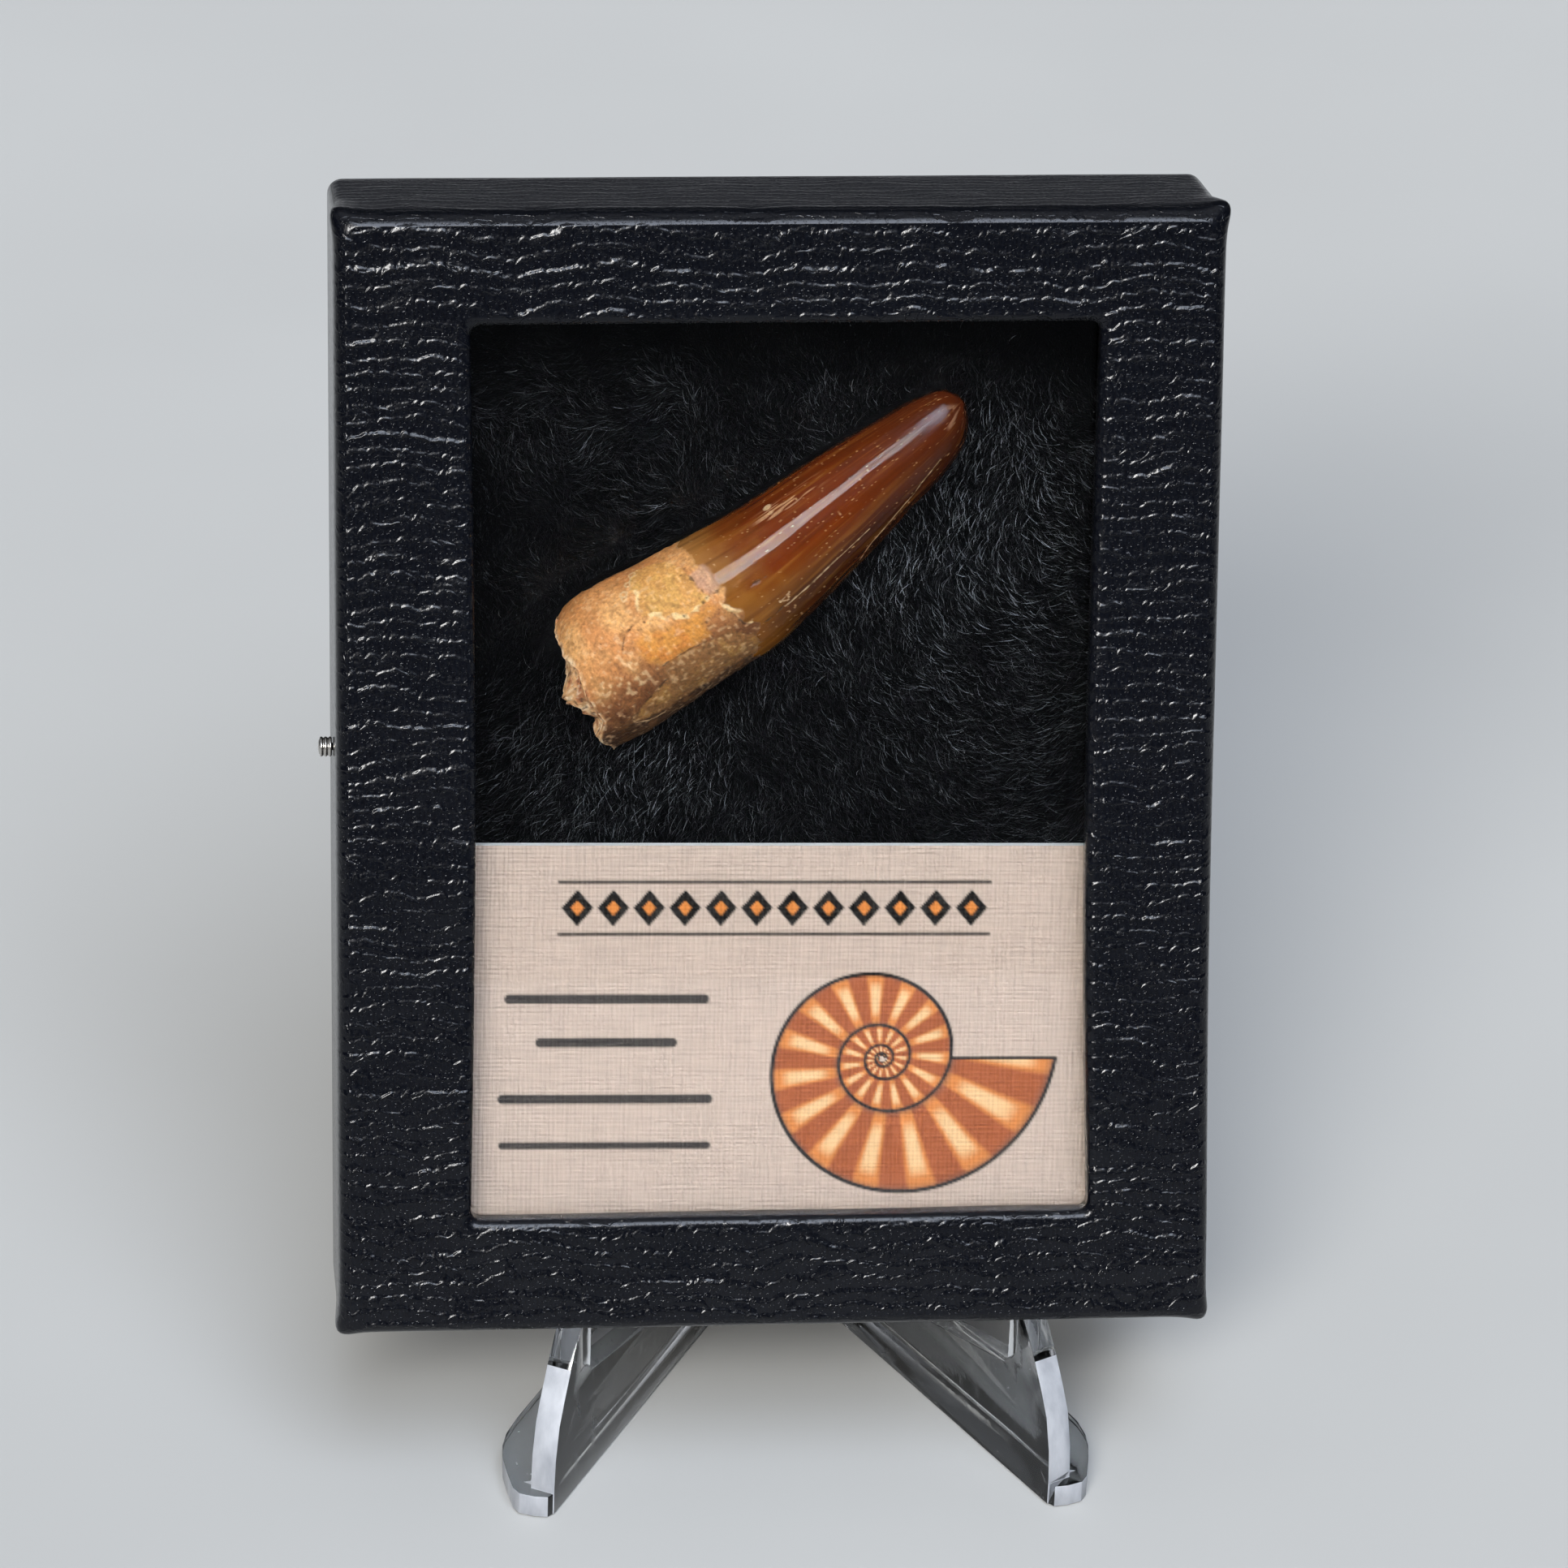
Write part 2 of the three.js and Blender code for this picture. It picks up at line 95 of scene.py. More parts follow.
def node(tree, kind, inputs=None, **settings):
    """Adds a node. Inputs go by name or number; a node given as a value is linked by its first output."""
    made = tree.nodes.new(kind)
    for name, value in settings.items():
        setattr(made, name, value)
    for key, value in (inputs or {}).items():
        live = [s for s in made.inputs if s.enabled and s.name == key]
        socket = made.inputs[key] if isinstance(key, int) else live[0]
        value = first_output(value)
        if isinstance(value, bpy.types.NodeSocket):
            tree.links.new(value, socket)
        else:
            socket.default_value = value
    return made


def new_material(name, **shader_values):
    """A material with one Principled shader, whose plain values are set on its own sockets."""
    made = bpy.data.materials.new(name)
    made.use_nodes = True
    tree = made.node_tree
    shader = next(n for n in tree.nodes if n.type == "BSDF_PRINCIPLED")
    for key, value in shader_values.items():
        shader.inputs[key.replace("_", " ")].default_value = value
    return made, tree, shader


def dress(tree, shader, **sources):
    """Links nodes into the shader's inputs of those names."""
    for key, source in sources.items():
        tree.links.new(first_output(source), shader.inputs[key.replace("_", " ")])


print("mid grey, linear:", round(srgb("#808080")[0], 3))


# %% Meshes and noise
def add_mesh(name, points, faces, materials, smooth=True, **attributes):
    """A mesh object from model points; attributes are per point, numbers or vectors."""
    data = bpy.data.meshes.new(name)
    faces = faces.tolist() if isinstance(faces, np.ndarray) else faces
    data.from_pydata(np.asarray(points).reshape(-1, 3).tolist(), [], faces)
    for key, values in attributes.items():
        values = np.asarray(values, np.float32)
        kind = "FLOAT_VECTOR" if values.ndim == 2 else "FLOAT"
        slot = data.attributes.new(key, kind, "POINT")
        slot.data.foreach_set("vector" if values.ndim == 2 else "value", values.ravel())
    data.validate()
    data.shade_smooth() if smooth else data.shade_flat()
    made = bpy.data.objects.new(name, data)
    bpy.context.scene.collection.objects.link(made)
    for m in materials:
        data.materials.append(m)
    return made


def grid_quads(rows, columns, wrap_columns=False, wrap_rows=False):
    """Quads between neighbouring points of a grid, listed row by row."""
    r = np.arange(rows if wrap_rows else rows - 1)[:, None]
    c = np.arange(columns if wrap_columns else columns - 1)[None, :]
    r2, c2 = (r + 1) % rows, (c + 1) % columns
    quads = [r * columns + c, r * columns + c2, r2 * columns + c2, r2 * columns + c]
    return np.stack(quads, -1).reshape(-1, 4)


# large odd numbers that scatter a grid cell's number into a random one, the same in every run
SEED_STEP, KEY_STEP, CELL_STEP, AXIS_STEP, LAST_STEP = 7919, 374761393, 668265263, 20014, 1274126177


def value_noise(seed, *axes):
    """Smooth noise from -1 to 1 over 2 or 3 coordinate arrays, one bump per unit."""
    axes = np.broadcast_arrays(*axes)
    cells = [np.floor(a).astype(np.int64) for a in axes]
    local = [a - c for a, c in zip(axes, cells)]
    local = [f * f * (3 - 2 * f) for f in local]
    total = 0
    for corner in range(2 ** len(axes)):
        mix, key = 1.0, np.full(axes[0].shape, seed * SEED_STEP, np.int64)
        for i, (c, f) in enumerate(zip(cells, local)):
            step = corner >> i & 1
            mix = mix * (f if step else 1 - f)
            key = key * KEY_STEP + (c + step) * (CELL_STEP + AXIS_STEP * i)
        key = (key ^ (key >> 13)) * LAST_STEP
        total = total + mix * (((key ^ (key >> 16)) & 0xFFFF) / 32767.5 - 1)
    return total


def rough_noise(seed, octaves, *axes):
    """Several sizes of value noise on top of each other."""
    return sum(value_noise(seed + k, *[a * 2 ** k for a in axes]) / 2 ** k for k in range(octaves))


def ease(low, high, x):
    """Eased step from 0 at low to 1 at high; low may be the larger."""
    t = np.clip((x - low) / (high - low), 0, 1)
    return t * t * (3 - 2 * t)


def blend_to(a, b, share):
    """From a at 0 to b at 1."""
    return a + (b - a) * share


def paint(canvas, code, share):
    """Lays a colour over an array of linear RGB values, by a share from 0 to 1 at each point."""
    canvas += (np.array(srgb(code)[:3]) - canvas) * np.clip(share, 0, 1)[..., None]


print("noise sample:", np.round(value_noise(1, np.array([0.3]), np.array([0.7])), 3))

# %% [markdown]
# ## Camera, light and floor
# A long lens from a little above keeps the case's sides nearly parallel. The light is a dim room with three
# large soft boxes in it, all painted into the world as smooth round areas: light that reaches things through
# the clear window then stays free of noise. The overhead one stands a little in front, so that only the steep
# lips of the leatherette send it to the eye, as fine lines. The wide, weak ceiling lights the tops of things
# evenly. The small strong one beside the camera lays the long streak on the enamel. The rest of the room
# stays dim, so that the window reflects nearly nothing.

# %% Camera, light and floor
SENSOR, LENS, NEAREST = 36, 171.92, 0.01     # mm, mm, metres
CAMERA_AT = Vector((-0.05972, -0.61660, 0.41767))
CAMERA_LOOK, CAMERA_UP = Vector((0.08661, 0.86524, -0.49383)), Vector((0.01263, 0.49470, 0.86897))

camera = bpy.data.objects.new("camera", bpy.data.cameras.new("camera"))
bpy.context.scene.collection.objects.link(camera)
camera.data.sensor_width, camera.data.lens, camera.data.clip_start = SENSOR, LENS, NEAREST
look = CAMERA_LOOK.normalized()
side = look.cross(CAMERA_UP).normalized()
facing = Matrix((side, side.cross(look), -look)).transposed().to_4x4()
camera.matrix_world = Matrix.Translation(CAMERA_AT) @ facing
bpy.context.scene.camera = camera
bpy.context.scene.view_settings.view_transform = "Standard"

ROOM = srgb("#26282b")
# centre, long axis, half sizes along and across it (as sines), colour, strength
SOFT_BOXES = {
    "overhead": ((0.12, -0.58, 0.80), (1.0, 0.0, 0.0), 0.46, 0.48, "#dfe9fb", 15.0),
    "ceiling": ((0.0, 0.05, 1.0), (1.0, 0.0, 0.0), 0.90, 0.92, "#f2f4fa", 0.8),
    "beside_camera": ((-0.27, -0.79, 0.55), (0.82, 0.15, 0.55), 0.38, 0.135, "#f8f6f4", 80.0),
}
CORE = 0.25              # a box is at full strength up to this share of its half size, and fades outside it


def build_world():
    """A dim room; each soft box is a patch of directions, measured along its own two axes."""
    world = bpy.data.worlds.new("soft_studio")
    bpy.context.scene.world = world
    world.use_nodes = True
    tree = world.node_tree
    ray = node(tree, "ShaderNodeTexCoord").outputs["Generated"]
    total = node(tree, "ShaderNodeRGB")
    total.outputs[0].default_value = ROOM
    for centre, long_axis, along, across, colour, strength in SOFT_BOXES.values():
        centre = Vector(centre).normalized()
        side = centre.cross(Vector(long_axis)).normalized()
        out = []
        for axis in (centre, side.cross(centre) / along, side / across):
            share = node(tree, "ShaderNodeVectorMath", {0: ray, 1: axis}, operation="DOT_PRODUCT")
            out.append(share.outputs["Value"])
        flat = node(tree, "ShaderNodeCombineXYZ", {0: out[1], 1: out[2]})
        away = node(tree, "ShaderNodeVectorMath", {0: flat}, operation="LENGTH").outputs["Value"]
        area = node(tree, "ShaderNodeMapRange", {"Value": away, "From Min": 1.0, "From Max": CORE,
                    "To Max": strength}, interpolation_type="SMOOTHERSTEP")
        ahead = node(tree, "ShaderNodeMath", {0: out[0], 1: 0.0}, operation="GREATER_THAN")
        area = node(tree, "ShaderNodeMath", {0: area, 1: ahead}, operation="MULTIPLY")
        lit = node(tree, "ShaderNodeVectorMath", {0: srgb(colour)[:3], "Scale": area}, operation="SCALE")
        total = node(tree, "ShaderNodeVectorMath", {0: total, 1: lit}, operation="ADD")
    tree.links.new(total.outputs[0], tree.nodes["Background"].inputs["Color"])


build_world()

# a round pale floor, all in metres, that darkens into the room so that its far edge doesn't show
FLOOR_RADIUS, FLOOR_SIDES, FLOOR_GAP = 2.5, 120, 0.0002
FLOOR_PALE, FLOOR_DARK = 0.34, 0.80          # pale up to one radius and dark from the other

# rolled matt paint: even and soft, with no reflection of the case in it
floor_paint, tree, shader = new_material("matt_pale_paint_rolled", Roughness=0.8)
place = node(tree, "ShaderNodeTexCoord").outputs["Object"]
mottle = node(tree, "ShaderNodeTexNoise", {"Vector": place, "Scale": 9.0, "Detail": 3.0})
shade = node(tree, "ShaderNodeMix", {"Factor": mottle, "A": srgb("#8e8e8b"), "B": srgb("#999996")},
             data_type="RGBA")
away = node(tree, "ShaderNodeVectorMath", {0: place}, operation="LENGTH").outputs["Value"]
fall_off = node(tree, "ShaderNodeMapRange", {"Value": away, "From Min": FLOOR_PALE, "From Max": FLOOR_DARK},
                interpolation_type="SMOOTHSTEP")
shade = node(tree, "ShaderNodeMix", {"Factor": fall_off, "A": shade, "B": srgb("#2b2b2d")}, data_type="RGBA")
dress(tree, shader, Base_Color=shade)
steps = [radians(360 / FLOOR_SIDES * i) for i in range(FLOOR_SIDES)]
floor = add_mesh("floor", [(FLOOR_RADIUS * cos(a), FLOOR_RADIUS * sin(a), -FLOOR_GAP) for a in steps],
                 [tuple(range(FLOOR_SIDES))], [floor_paint])
print("camera", tuple(round(v, 3) for v in camera.location), "soft boxes", len(SOFT_BOXES))

# %% [markdown]
# ## Leatherette paper
# The case is covered in leatherette, an acrylic-coated paper embossed with a leather grain: flat pebbles
# about 1.5 mm wide and 1.6 mm high, in uneven rows. Only the upper lip of a pebble is steep, and it is
# arched, so under an overhead light each lip is a short bright arc, and a row of them is a wavy broken line.
# The film itself is smooth enough to stay nearly black elsewhere. A lip is a slope of about 1: much steeper
# or flatter ones would send the light past the eye.
#
# The grain is written in the flat paper's own millimetres, kept in a UV map, so that it runs on over the
# folded edges. Rows and pebbles are counted with Floor, and each pebble gets its own random depth, bow and
# place. A second layer of larger pebbles breaks the rows up. Dots near 0.48 mm, pulled out of shape by
# specks of 0.3 mm, and fine fibres roughen the flats between them.

# %% Pebbles
# all in mm of paper: a pebble's width and height, its lip's thickness and depth, and then a share: the
# larger it is, the more pebbles lack a lip
PEBBLE_ROWS = [(1.45, 1.6, 0.08, 0.082, -0.25), (2.1, 2.7, 0.08, 0.082, 0.35)]
ROW_SHIFT = 0.9                    # the second layer's rows start this much higher
ROW_WAVES = [(0.10, 3.3), (0.42, 0.7), (1.3, 0.30)]   # noise waves per mm, and how far they bend a row
WAVE_MORE = 2.0                    # the second layer's longest wave reaches this much further
PEBBLE_WAVE = (0.33, 3.0)          # waves per mm, and how many pebbles a row is pushed along by
ROW_START = 9.0                    # rows start within this many pebbles of each other
BOWS = (-0.25, -0.95)              # how far a lip's ends hang, from the flattest to the most arched
LIP_AT, LIP_SPREAD = 0.45, 0.08    # height of a lip in its row, and how much it differs
RISE_FROM = 0.38                   # the slow rise to the next row takes this share of a row
DEPTH_RANGE = 0.45                 # past the missing share, lips get deeper over this much of chance
SPECK, DOT, SPECK_DEEP = 0.30, 0.48, 0.022
FIBRE_ACROSS, FIBRE_ALONG, FIBRE_DEEP = 0.20, 0.9, 0.010


def pebble_layer(tree, number, flat, bends, push, open_here):
    """Height of one layer of pebbles: 1 all over, and less just above each lip."""
    wide, high, lip, _, missing = PEBBLE_ROWS[number]
    # rows: height up the paper, bent a little, counted in pebble heights
    bent = node(tree, "ShaderNodeMath", {0: flat.outputs["Y"], 1: ROW_SHIFT * number}, operation="ADD")
    reaches = [reach for _, reach in ROW_WAVES]
    reaches[0] += WAVE_MORE * number
    for noise, reach in zip(bends, reaches):
        bent = node(tree, "ShaderNodeMath", {0: noise, 1: reach, 2: bent}, operation="MULTIPLY_ADD")
    rows = node(tree, "ShaderNodeMath", {0: bent, 1: high}, operation="DIVIDE")
    row = node(tree, "ShaderNodeMath", {0: rows}, operation="FLOOR")
    up = node(tree, "ShaderNodeMath", {0: rows}, operation="FRACT")
    # pebbles along a row, each row starting at its own place
    start = node(tree, "ShaderNodeTexWhiteNoise", {"W": row}, noise_dimensions="1D")
    across = node(tree, "ShaderNodeMath", {0: flat.outputs["X"], 1: wide}, operation="DIVIDE")
    for value, reach in ((start, ROW_START), (push, PEBBLE_WAVE[1])):
        across = node(tree, "ShaderNodeMath", {0: value, 1: reach, 2: across}, operation="MULTIPLY_ADD")
    pebble = node(tree, "ShaderNodeMath", {0: across}, operation="FLOOR")
    share = node(tree, "ShaderNodeMath", {0: across}, operation="FRACT")
    cell = node(tree, "ShaderNodeCombineXYZ", {0: pebble, 1: row})
    own = node(tree, "ShaderNodeTexWhiteNoise", {"Vector": cell}, noise_dimensions="2D")
    chance = node(tree, "ShaderNodeSeparateColor", {0: own.outputs["Color"]}).outputs
    # the arched upper lip: a steep drop, then a slow rise to the next row
    off_middle = node(tree, "ShaderNodeMath", {0: share, 1: 0.5}, operation="SUBTRACT")
    sag = node(tree, "ShaderNodeMath", {0: off_middle, 1: off_middle}, operation="MULTIPLY")
    bow = node(tree, "ShaderNodeMapRange", {"Value": chance["Blue"], "To Min": BOWS[0], "To Max": BOWS[1]})
    arch = node(tree, "ShaderNodeMath", {0: sag, 1: bow, 2: LIP_AT}, operation="MULTIPLY_ADD")
    lip_at = node(tree, "ShaderNodeMath", {0: chance["Green"], 1: LIP_SPREAD, 2: arch},
                  operation="MULTIPLY_ADD")
    past = node(tree, "ShaderNodeMath", {0: up, 1: lip_at}, operation="SUBTRACT")
    drop = node(tree, "ShaderNodeMapRange", {"Value": past, "From Min": 0.0, "From Max": lip / high})
    rise = node(tree, "ShaderNodeMapRange", {"Value": past, "From Min": RISE_FROM, "From Max": lip / high},
                interpolation_type="SMOOTHSTEP")
    depth = node(tree, "ShaderNodeMapRange", {"Value": chance["Red"], "From Min": missing,
                 "From Max": missing + DEPTH_RANGE})
    groove = node(tree, "ShaderNodeMath", {0: depth, 1: open_here}, operation="MULTIPLY")
    for factor in (drop, rise):
        groove = node(tree, "ShaderNodeMath", {0: groove, 1: factor}, operation="MULTIPLY")
    return node(tree, "ShaderNodeMath", {0: 1.0, 1: groove}, operation="SUBTRACT")


print("pebble layers:", len(PEBBLE_ROWS))


# %% Leatherette material
def leatherette(name):
    """Nearly black, smooth film over paper, with its lips, dots and fibres as layered bumps."""
    made, tree, shader = new_material(name, IOR=1.46, Specular_IOR_Level=0.25)
    paper = node(tree, "ShaderNodeUVMap", uv_map="paper_mm")
    flat = node(tree, "ShaderNodeSeparateXYZ", {0: paper})
    *bends, push = [node(tree, "ShaderNodeTexNoise", {"Vector": paper, "Scale": scale, "Detail": 1.0},
                         noise_dimensions="2D") for scale, _ in (*ROW_WAVES, PEBBLE_WAVE)]
    # lips are deeper in some patches than in others, and follow the face's own attribute
    patch = node(tree, "ShaderNodeTexNoise", {"Vector": paper, "Scale": 0.5, "Detail": 3.0},
                 noise_dimensions="2D")
    open_here = node(tree, "ShaderNodeMapRange", {"Value": patch, "From Min": 0.32, "From Max": 0.52,
                     "To Min": 0.75})
    on_face = node(tree, "ShaderNodeAttribute", attribute_name="lipped").outputs["Fac"]
    open_here = node(tree, "ShaderNodeMath", {0: open_here, 1: on_face}, operation="MULTIPLY")
    normal = None
    for number, (_, _, _, deep, _) in enumerate(PEBBLE_ROWS):
        relief = pebble_layer(tree, number, flat, bends, push, open_here)
        under = {"Normal": normal} if normal else {}
        normal = node(tree, "ShaderNodeBump", {"Height": relief, "Distance": deep * MM, **under})
    specks = node(tree, "ShaderNodeTexNoise", {"Vector": paper, "Scale": 1 / SPECK, "Detail": 1.0},
                  noise_dimensions="2D")
    dots = node(tree, "ShaderNodeTexVoronoi", {"Vector": paper, "Scale": 1 / DOT}, voronoi_dimensions="2D")
    uneven = node(tree, "ShaderNodeMath", {0: specks, 1: 0.9, 2: dots}, operation="MULTIPLY_ADD")
    speck = node(tree, "ShaderNodeMapRange", {"Value": uneven, "From Min": 0.68, "From Max": 0.58})
    stretched = node(tree, "ShaderNodeVectorMath", {0: paper, 1: (1 / FIBRE_ACROSS, 1 / FIBRE_ALONG, 0)},
                     operation="MULTIPLY")
    fibre = node(tree, "ShaderNodeTexNoise", {"Vector": stretched, "Scale": 1.0, "Detail": 1.0},
                 noise_dimensions="2D")
    for height, distance in ((speck, SPECK_DEEP), (fibre, FIBRE_DEEP)):
        height = node(tree, "ShaderNodeMath", {0: height, 1: on_face}, operation="MULTIPLY")
        normal = node(tree, "ShaderNodeBump", {"Height": height, "Distance": distance * MM,
                      "Normal": normal})
    film = node(tree, "ShaderNodeMix", {"Factor": fibre, "A": srgb("#020204"), "B": srgb("#080a0f")},
                data_type="RGBA")
    gloss = node(tree, "ShaderNodeMapRange", {"Value": specks, "From Min": 0.3, "From Max": 0.7,
                 "To Min": 0.15, "To Max": 0.24})
    dress(tree, shader, Base_Color=film, Roughness=gloss, Normal=normal)
    return made


lid_paper = leatherette("leatherette_embossed_acrylic_coated_paper")
print("leatherette nodes:", len(lid_paper.node_tree.nodes))

# %% [markdown]
# ## The lid
# The lid is a shallow paperboard box with a window cut in its face, all wrapped in one sheet of the paper.
# It is a ring: its section runs up the outside wall, round the soft front edge, across the rail and over the
# window's edge. So it is lofted, with one closed loop round the case for each step of that section. Where the
# sheet is folded at the four front corners, a small doubled ear stands out. A slow noise keeps the wrapped
# board from being dead flat.

# %% Lid loops
# all in mm: how far the rounded edge reaches over the face, the window edge's radius, the board's thickness
# in the walls and in the face
EDGE_R, SILL_R, BOARD, FACE_T = 2.0, 0.9, 1.6, 2.2
OUTER_CORNER, SILL_CORNER, INNER_CORNER = 1.4, 0.9, 0.6     # radii of the corners, seen from the front
# the wrapped edge from wall to face: length of each step and the sheet's tilt at its end, in degrees
EDGE_BENDS = [(0, 90), (0.4, 88), (0.4, 86), (0.4, 83), (0.3, 79), (0.2, 74), (0.2, 68), (0.2, 61),
              (0.16, 55), (0.16, 49), (0.16, 43), (0.18, 37), (0.18, 32), (0.20, 28), (0.10, 25)]
EDGE_DEEP = sum(step * sin(radians((a[1] + b) / 2)) for a, (step, b) in zip(EDGE_BENDS, EDGE_BENDS[1:]))
RAILS = {"left": 12.6, "right": 11.7, "top": 10.5, "bottom": 11.3}
RAIL_BOW, FOOT_FLARE, FLARE_TOP = 0.45, 0.55, 52   # the side rails bow in, and the right wall flares low down
CORNER_POINTS, SIDE_POINTS = 8, 150
# each corner's side in x and z, and how far its folded ear stands out
EARS = ((-1, 1, 0.55), (1, 1, 0.75), (-1, -1, 0.6), (1, -1, 0.5))


def lid_loop(inset, depth, corner, bow=0.0):
    """One loop round the case at a depth, inset from its outside by its own amount on each side."""
    left, right, top, bottom = (inset[k] for k in ("left", "right", "top", "bottom"))
    x0, x1, z0, z1 = -CASE_W / 2 + left, CASE_W / 2 - right, bottom, CASE_H - top
    centres = [(x1 - corner, z0 + corner, -90), (x1 - corner, z1 - corner, 0),
               (x0 + corner, z1 - corner, 90), (x0 + corner, z0 + corner, 180)]
    out = []
    for i, (cx, cz, start) in enumerate(centres):
        turn = np.radians(start + np.linspace(0, 90, CORNER_POINTS))
        out.append(np.stack([cx + corner * np.cos(turn), cz + corner * np.sin(turn)], -1))
        nx, nz, begin = centres[(i + 1) % 4]
        a = out[-1][-1]
        b = np.array([nx + corner * cos(radians(begin)), nz + corner * sin(radians(begin))])
        t = np.linspace(0, 1, SIDE_POINTS + 2)[1:-1, None]
        line = a + (b - a) * t
        if i % 2 == 0:
            line[:, 0] -= np.sign(line[:, 0]) * bow * np.sin(pi * t[:, 0])
        out.append(line)
    xz = np.concatenate(out)
    flare = np.where(xz[:, 0] > 0, FOOT_FLARE * ease(FLARE_TOP, 0, xz[:, 1]) ** 1.6, 0)
    return np.stack([xz[:, 0] + flare, np.full(len(xz), depth), xz[:, 1]], -1)


def even(d):
    """The same inset on all four sides."""
    return dict.fromkeys(RAILS, d)


def sill(d):
    """An inset at the window's edge, or d past it."""
    return {k: v + d for k, v in RAILS.items()}


def lid_section():
    """Loops from the back rim, up the wall, over the face and down the window's edge, then inside."""
    rows = [lid_loop(even(0.35), CASE_D, 1.2), lid_loop(even(0.08), CASE_D - 0.12, 1.35)]
    rows += [lid_loop(even(0), y, OUTER_CORNER) for y in np.linspace(CASE_D - 0.4, EDGE_DEEP + 0.4, 17)]
    inset, depth = 0.0, EDGE_DEEP
    for (_, tilt), (length, next_tilt) in zip(EDGE_BENDS, EDGE_BENDS[1:]):
        middle = radians((tilt + next_tilt) / 2)
        inset, depth = inset + length * cos(middle), depth - length * sin(middle)
        rows.append(lid_loop(even(inset), max(depth, 0.0), OUTER_CORNER))
    rows.append(lid_loop(even(inset + 0.10), 0, OUTER_CORNER))
    for share in np.linspace(0, 1, 13)[1:]:
        inset = {k: blend_to(EDGE_R, v - SILL_R, share) for k, v in RAILS.items()}
        rows.append(lid_loop(inset, 0, blend_to(OUTER_CORNER, 1.0, share), RAIL_BOW * share ** 2))
    for a in np.radians(np.linspace(0, 90, 7))[1:]:
        rows.append(lid_loop(sill(-SILL_R * (1 - sin(a))), SILL_R * (1 - cos(a)), 0.95, RAIL_BOW))
    rows += [lid_loop(sill(0), y, SILL_CORNER, RAIL_BOW) for y in (1.3, 1.8, FACE_T)]
    outer = len(rows)
    rows += [lid_loop(even(BOARD), y, INNER_CORNER) for y in (FACE_T, CASE_D)]
    return np.array(rows), outer


rows, outer = lid_section()
print("lid loops:", len(rows), "of which outside:", outer)


# %% Paper and folded corners
def paper_map(rows):
    """Flat-sheet millimetres of each point: the case face as it is, and walls unfolded round it."""
    x, y, z = rows[..., 0], rows[..., 1], rows[..., 2]
    over_side = np.maximum(np.abs(x) - (CASE_W / 2 - EDGE_R), 0) > 1e-6
    across = np.where(np.abs(x) / CASE_W > np.abs(z - CASE_H / 2) / CASE_H, np.sign(x) * y, 0)
    upward = np.where(across == 0, np.sign(z - CASE_H / 2) * y, 0)
    wall = over_side | (np.abs(z - CASE_H / 2) > CASE_H / 2 - EDGE_R)
    return np.stack([x + across * wall, z + upward * wall], -1)


def fold_ears(rows):
    """The folded sheet's ears: each corner column swings out along its diagonal near the front edge."""
    out = rows.copy()
    for sx, sz, reach in EARS:
        cx, cz = sx * CASE_W / 2, CASE_H * (sz > 0)
        away = np.hypot(rows[..., 0] - cx, rows[..., 2] - cz)
        at_depth = ease(-0.3, 1.6, rows[..., 1]) * ease(9, 2.0, rows[..., 1])
        push = reach * np.exp(-(away / 1.5) ** 1.5) * at_depth
        out[..., 0] += sx * push
        out[..., 2] += sz * push
    return out


paper = paper_map(rows)
shaped = fold_ears(rows)
swell = rough_noise(3, 2, rows[..., 0] / 11, rows[..., 2] / 11) * 0.10 + value_noise(
    9, rows[..., 0] / 3, rows[..., 2] / 3, rows[..., 1] / 3) * 0.03
shaped[:outer, :, 1] += swell[:outer]
# the emboss is deepest on the face, half as deep on the edge, and pulled nearly flat on the top wall
on_face, on_wall = ease(0.6, 0.15, rows[..., 1]), ease(2.0, 3.2, rows[..., 1])
on_top = ease(CASE_H - 3, CASE_H - 1, rows[..., 2])
lipped = 0.5 + 0.5 * on_face + on_wall * blend_to(0.2, -0.30, on_top)
print("sheet, mm:", np.round(np.ptp(paper.reshape(-1, 2), axis=0), 1))

# %% Lid
lid = add_mesh("lid_leatherette", from_case(shaped), grid_quads(*rows.shape[:2], True, True)[:, ::-1],
               [lid_paper], lipped=lipped.ravel())


def set_uv(obj, name, per_point):
    """A UV map from one (u, v) for each point."""
    layer = obj.data.uv_layers.new(name=name)
    corners = np.zeros(len(obj.data.loops), np.int32)
    obj.data.loops.foreach_get("vertex_index", corners)
    layer.data.foreach_set("uv", np.asarray(per_point, np.float32).reshape(-1, 2)[corners].ravel())


set_uv(lid, "paper_mm", paper)
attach(lid, "root")
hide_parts("case_lid")
print("lid:", len(lid.data.polygons), "faces")

# %% [markdown]
# ## Tray and pane
# The tray is a plain board box in smoother black paper. It slides inside the lid, so only its back shows. It
# could be modelled again, but its shape is already right, so it keeps the solid model's, with its board
# edges rounded as wrapped paper rounds them. The pane is a sheet of clear polystyrene: plain transmission,
# its IOR and no roughness.


# %% Copies of solids with softened edges
def finished_mesh(obj):
    """The mesh that an object's modifiers make of it."""
    graph = bpy.context.evaluated_depsgraph_get()
    return bpy.data.meshes.new_from_object(obj.evaluated_get(graph), depsgraph=graph)


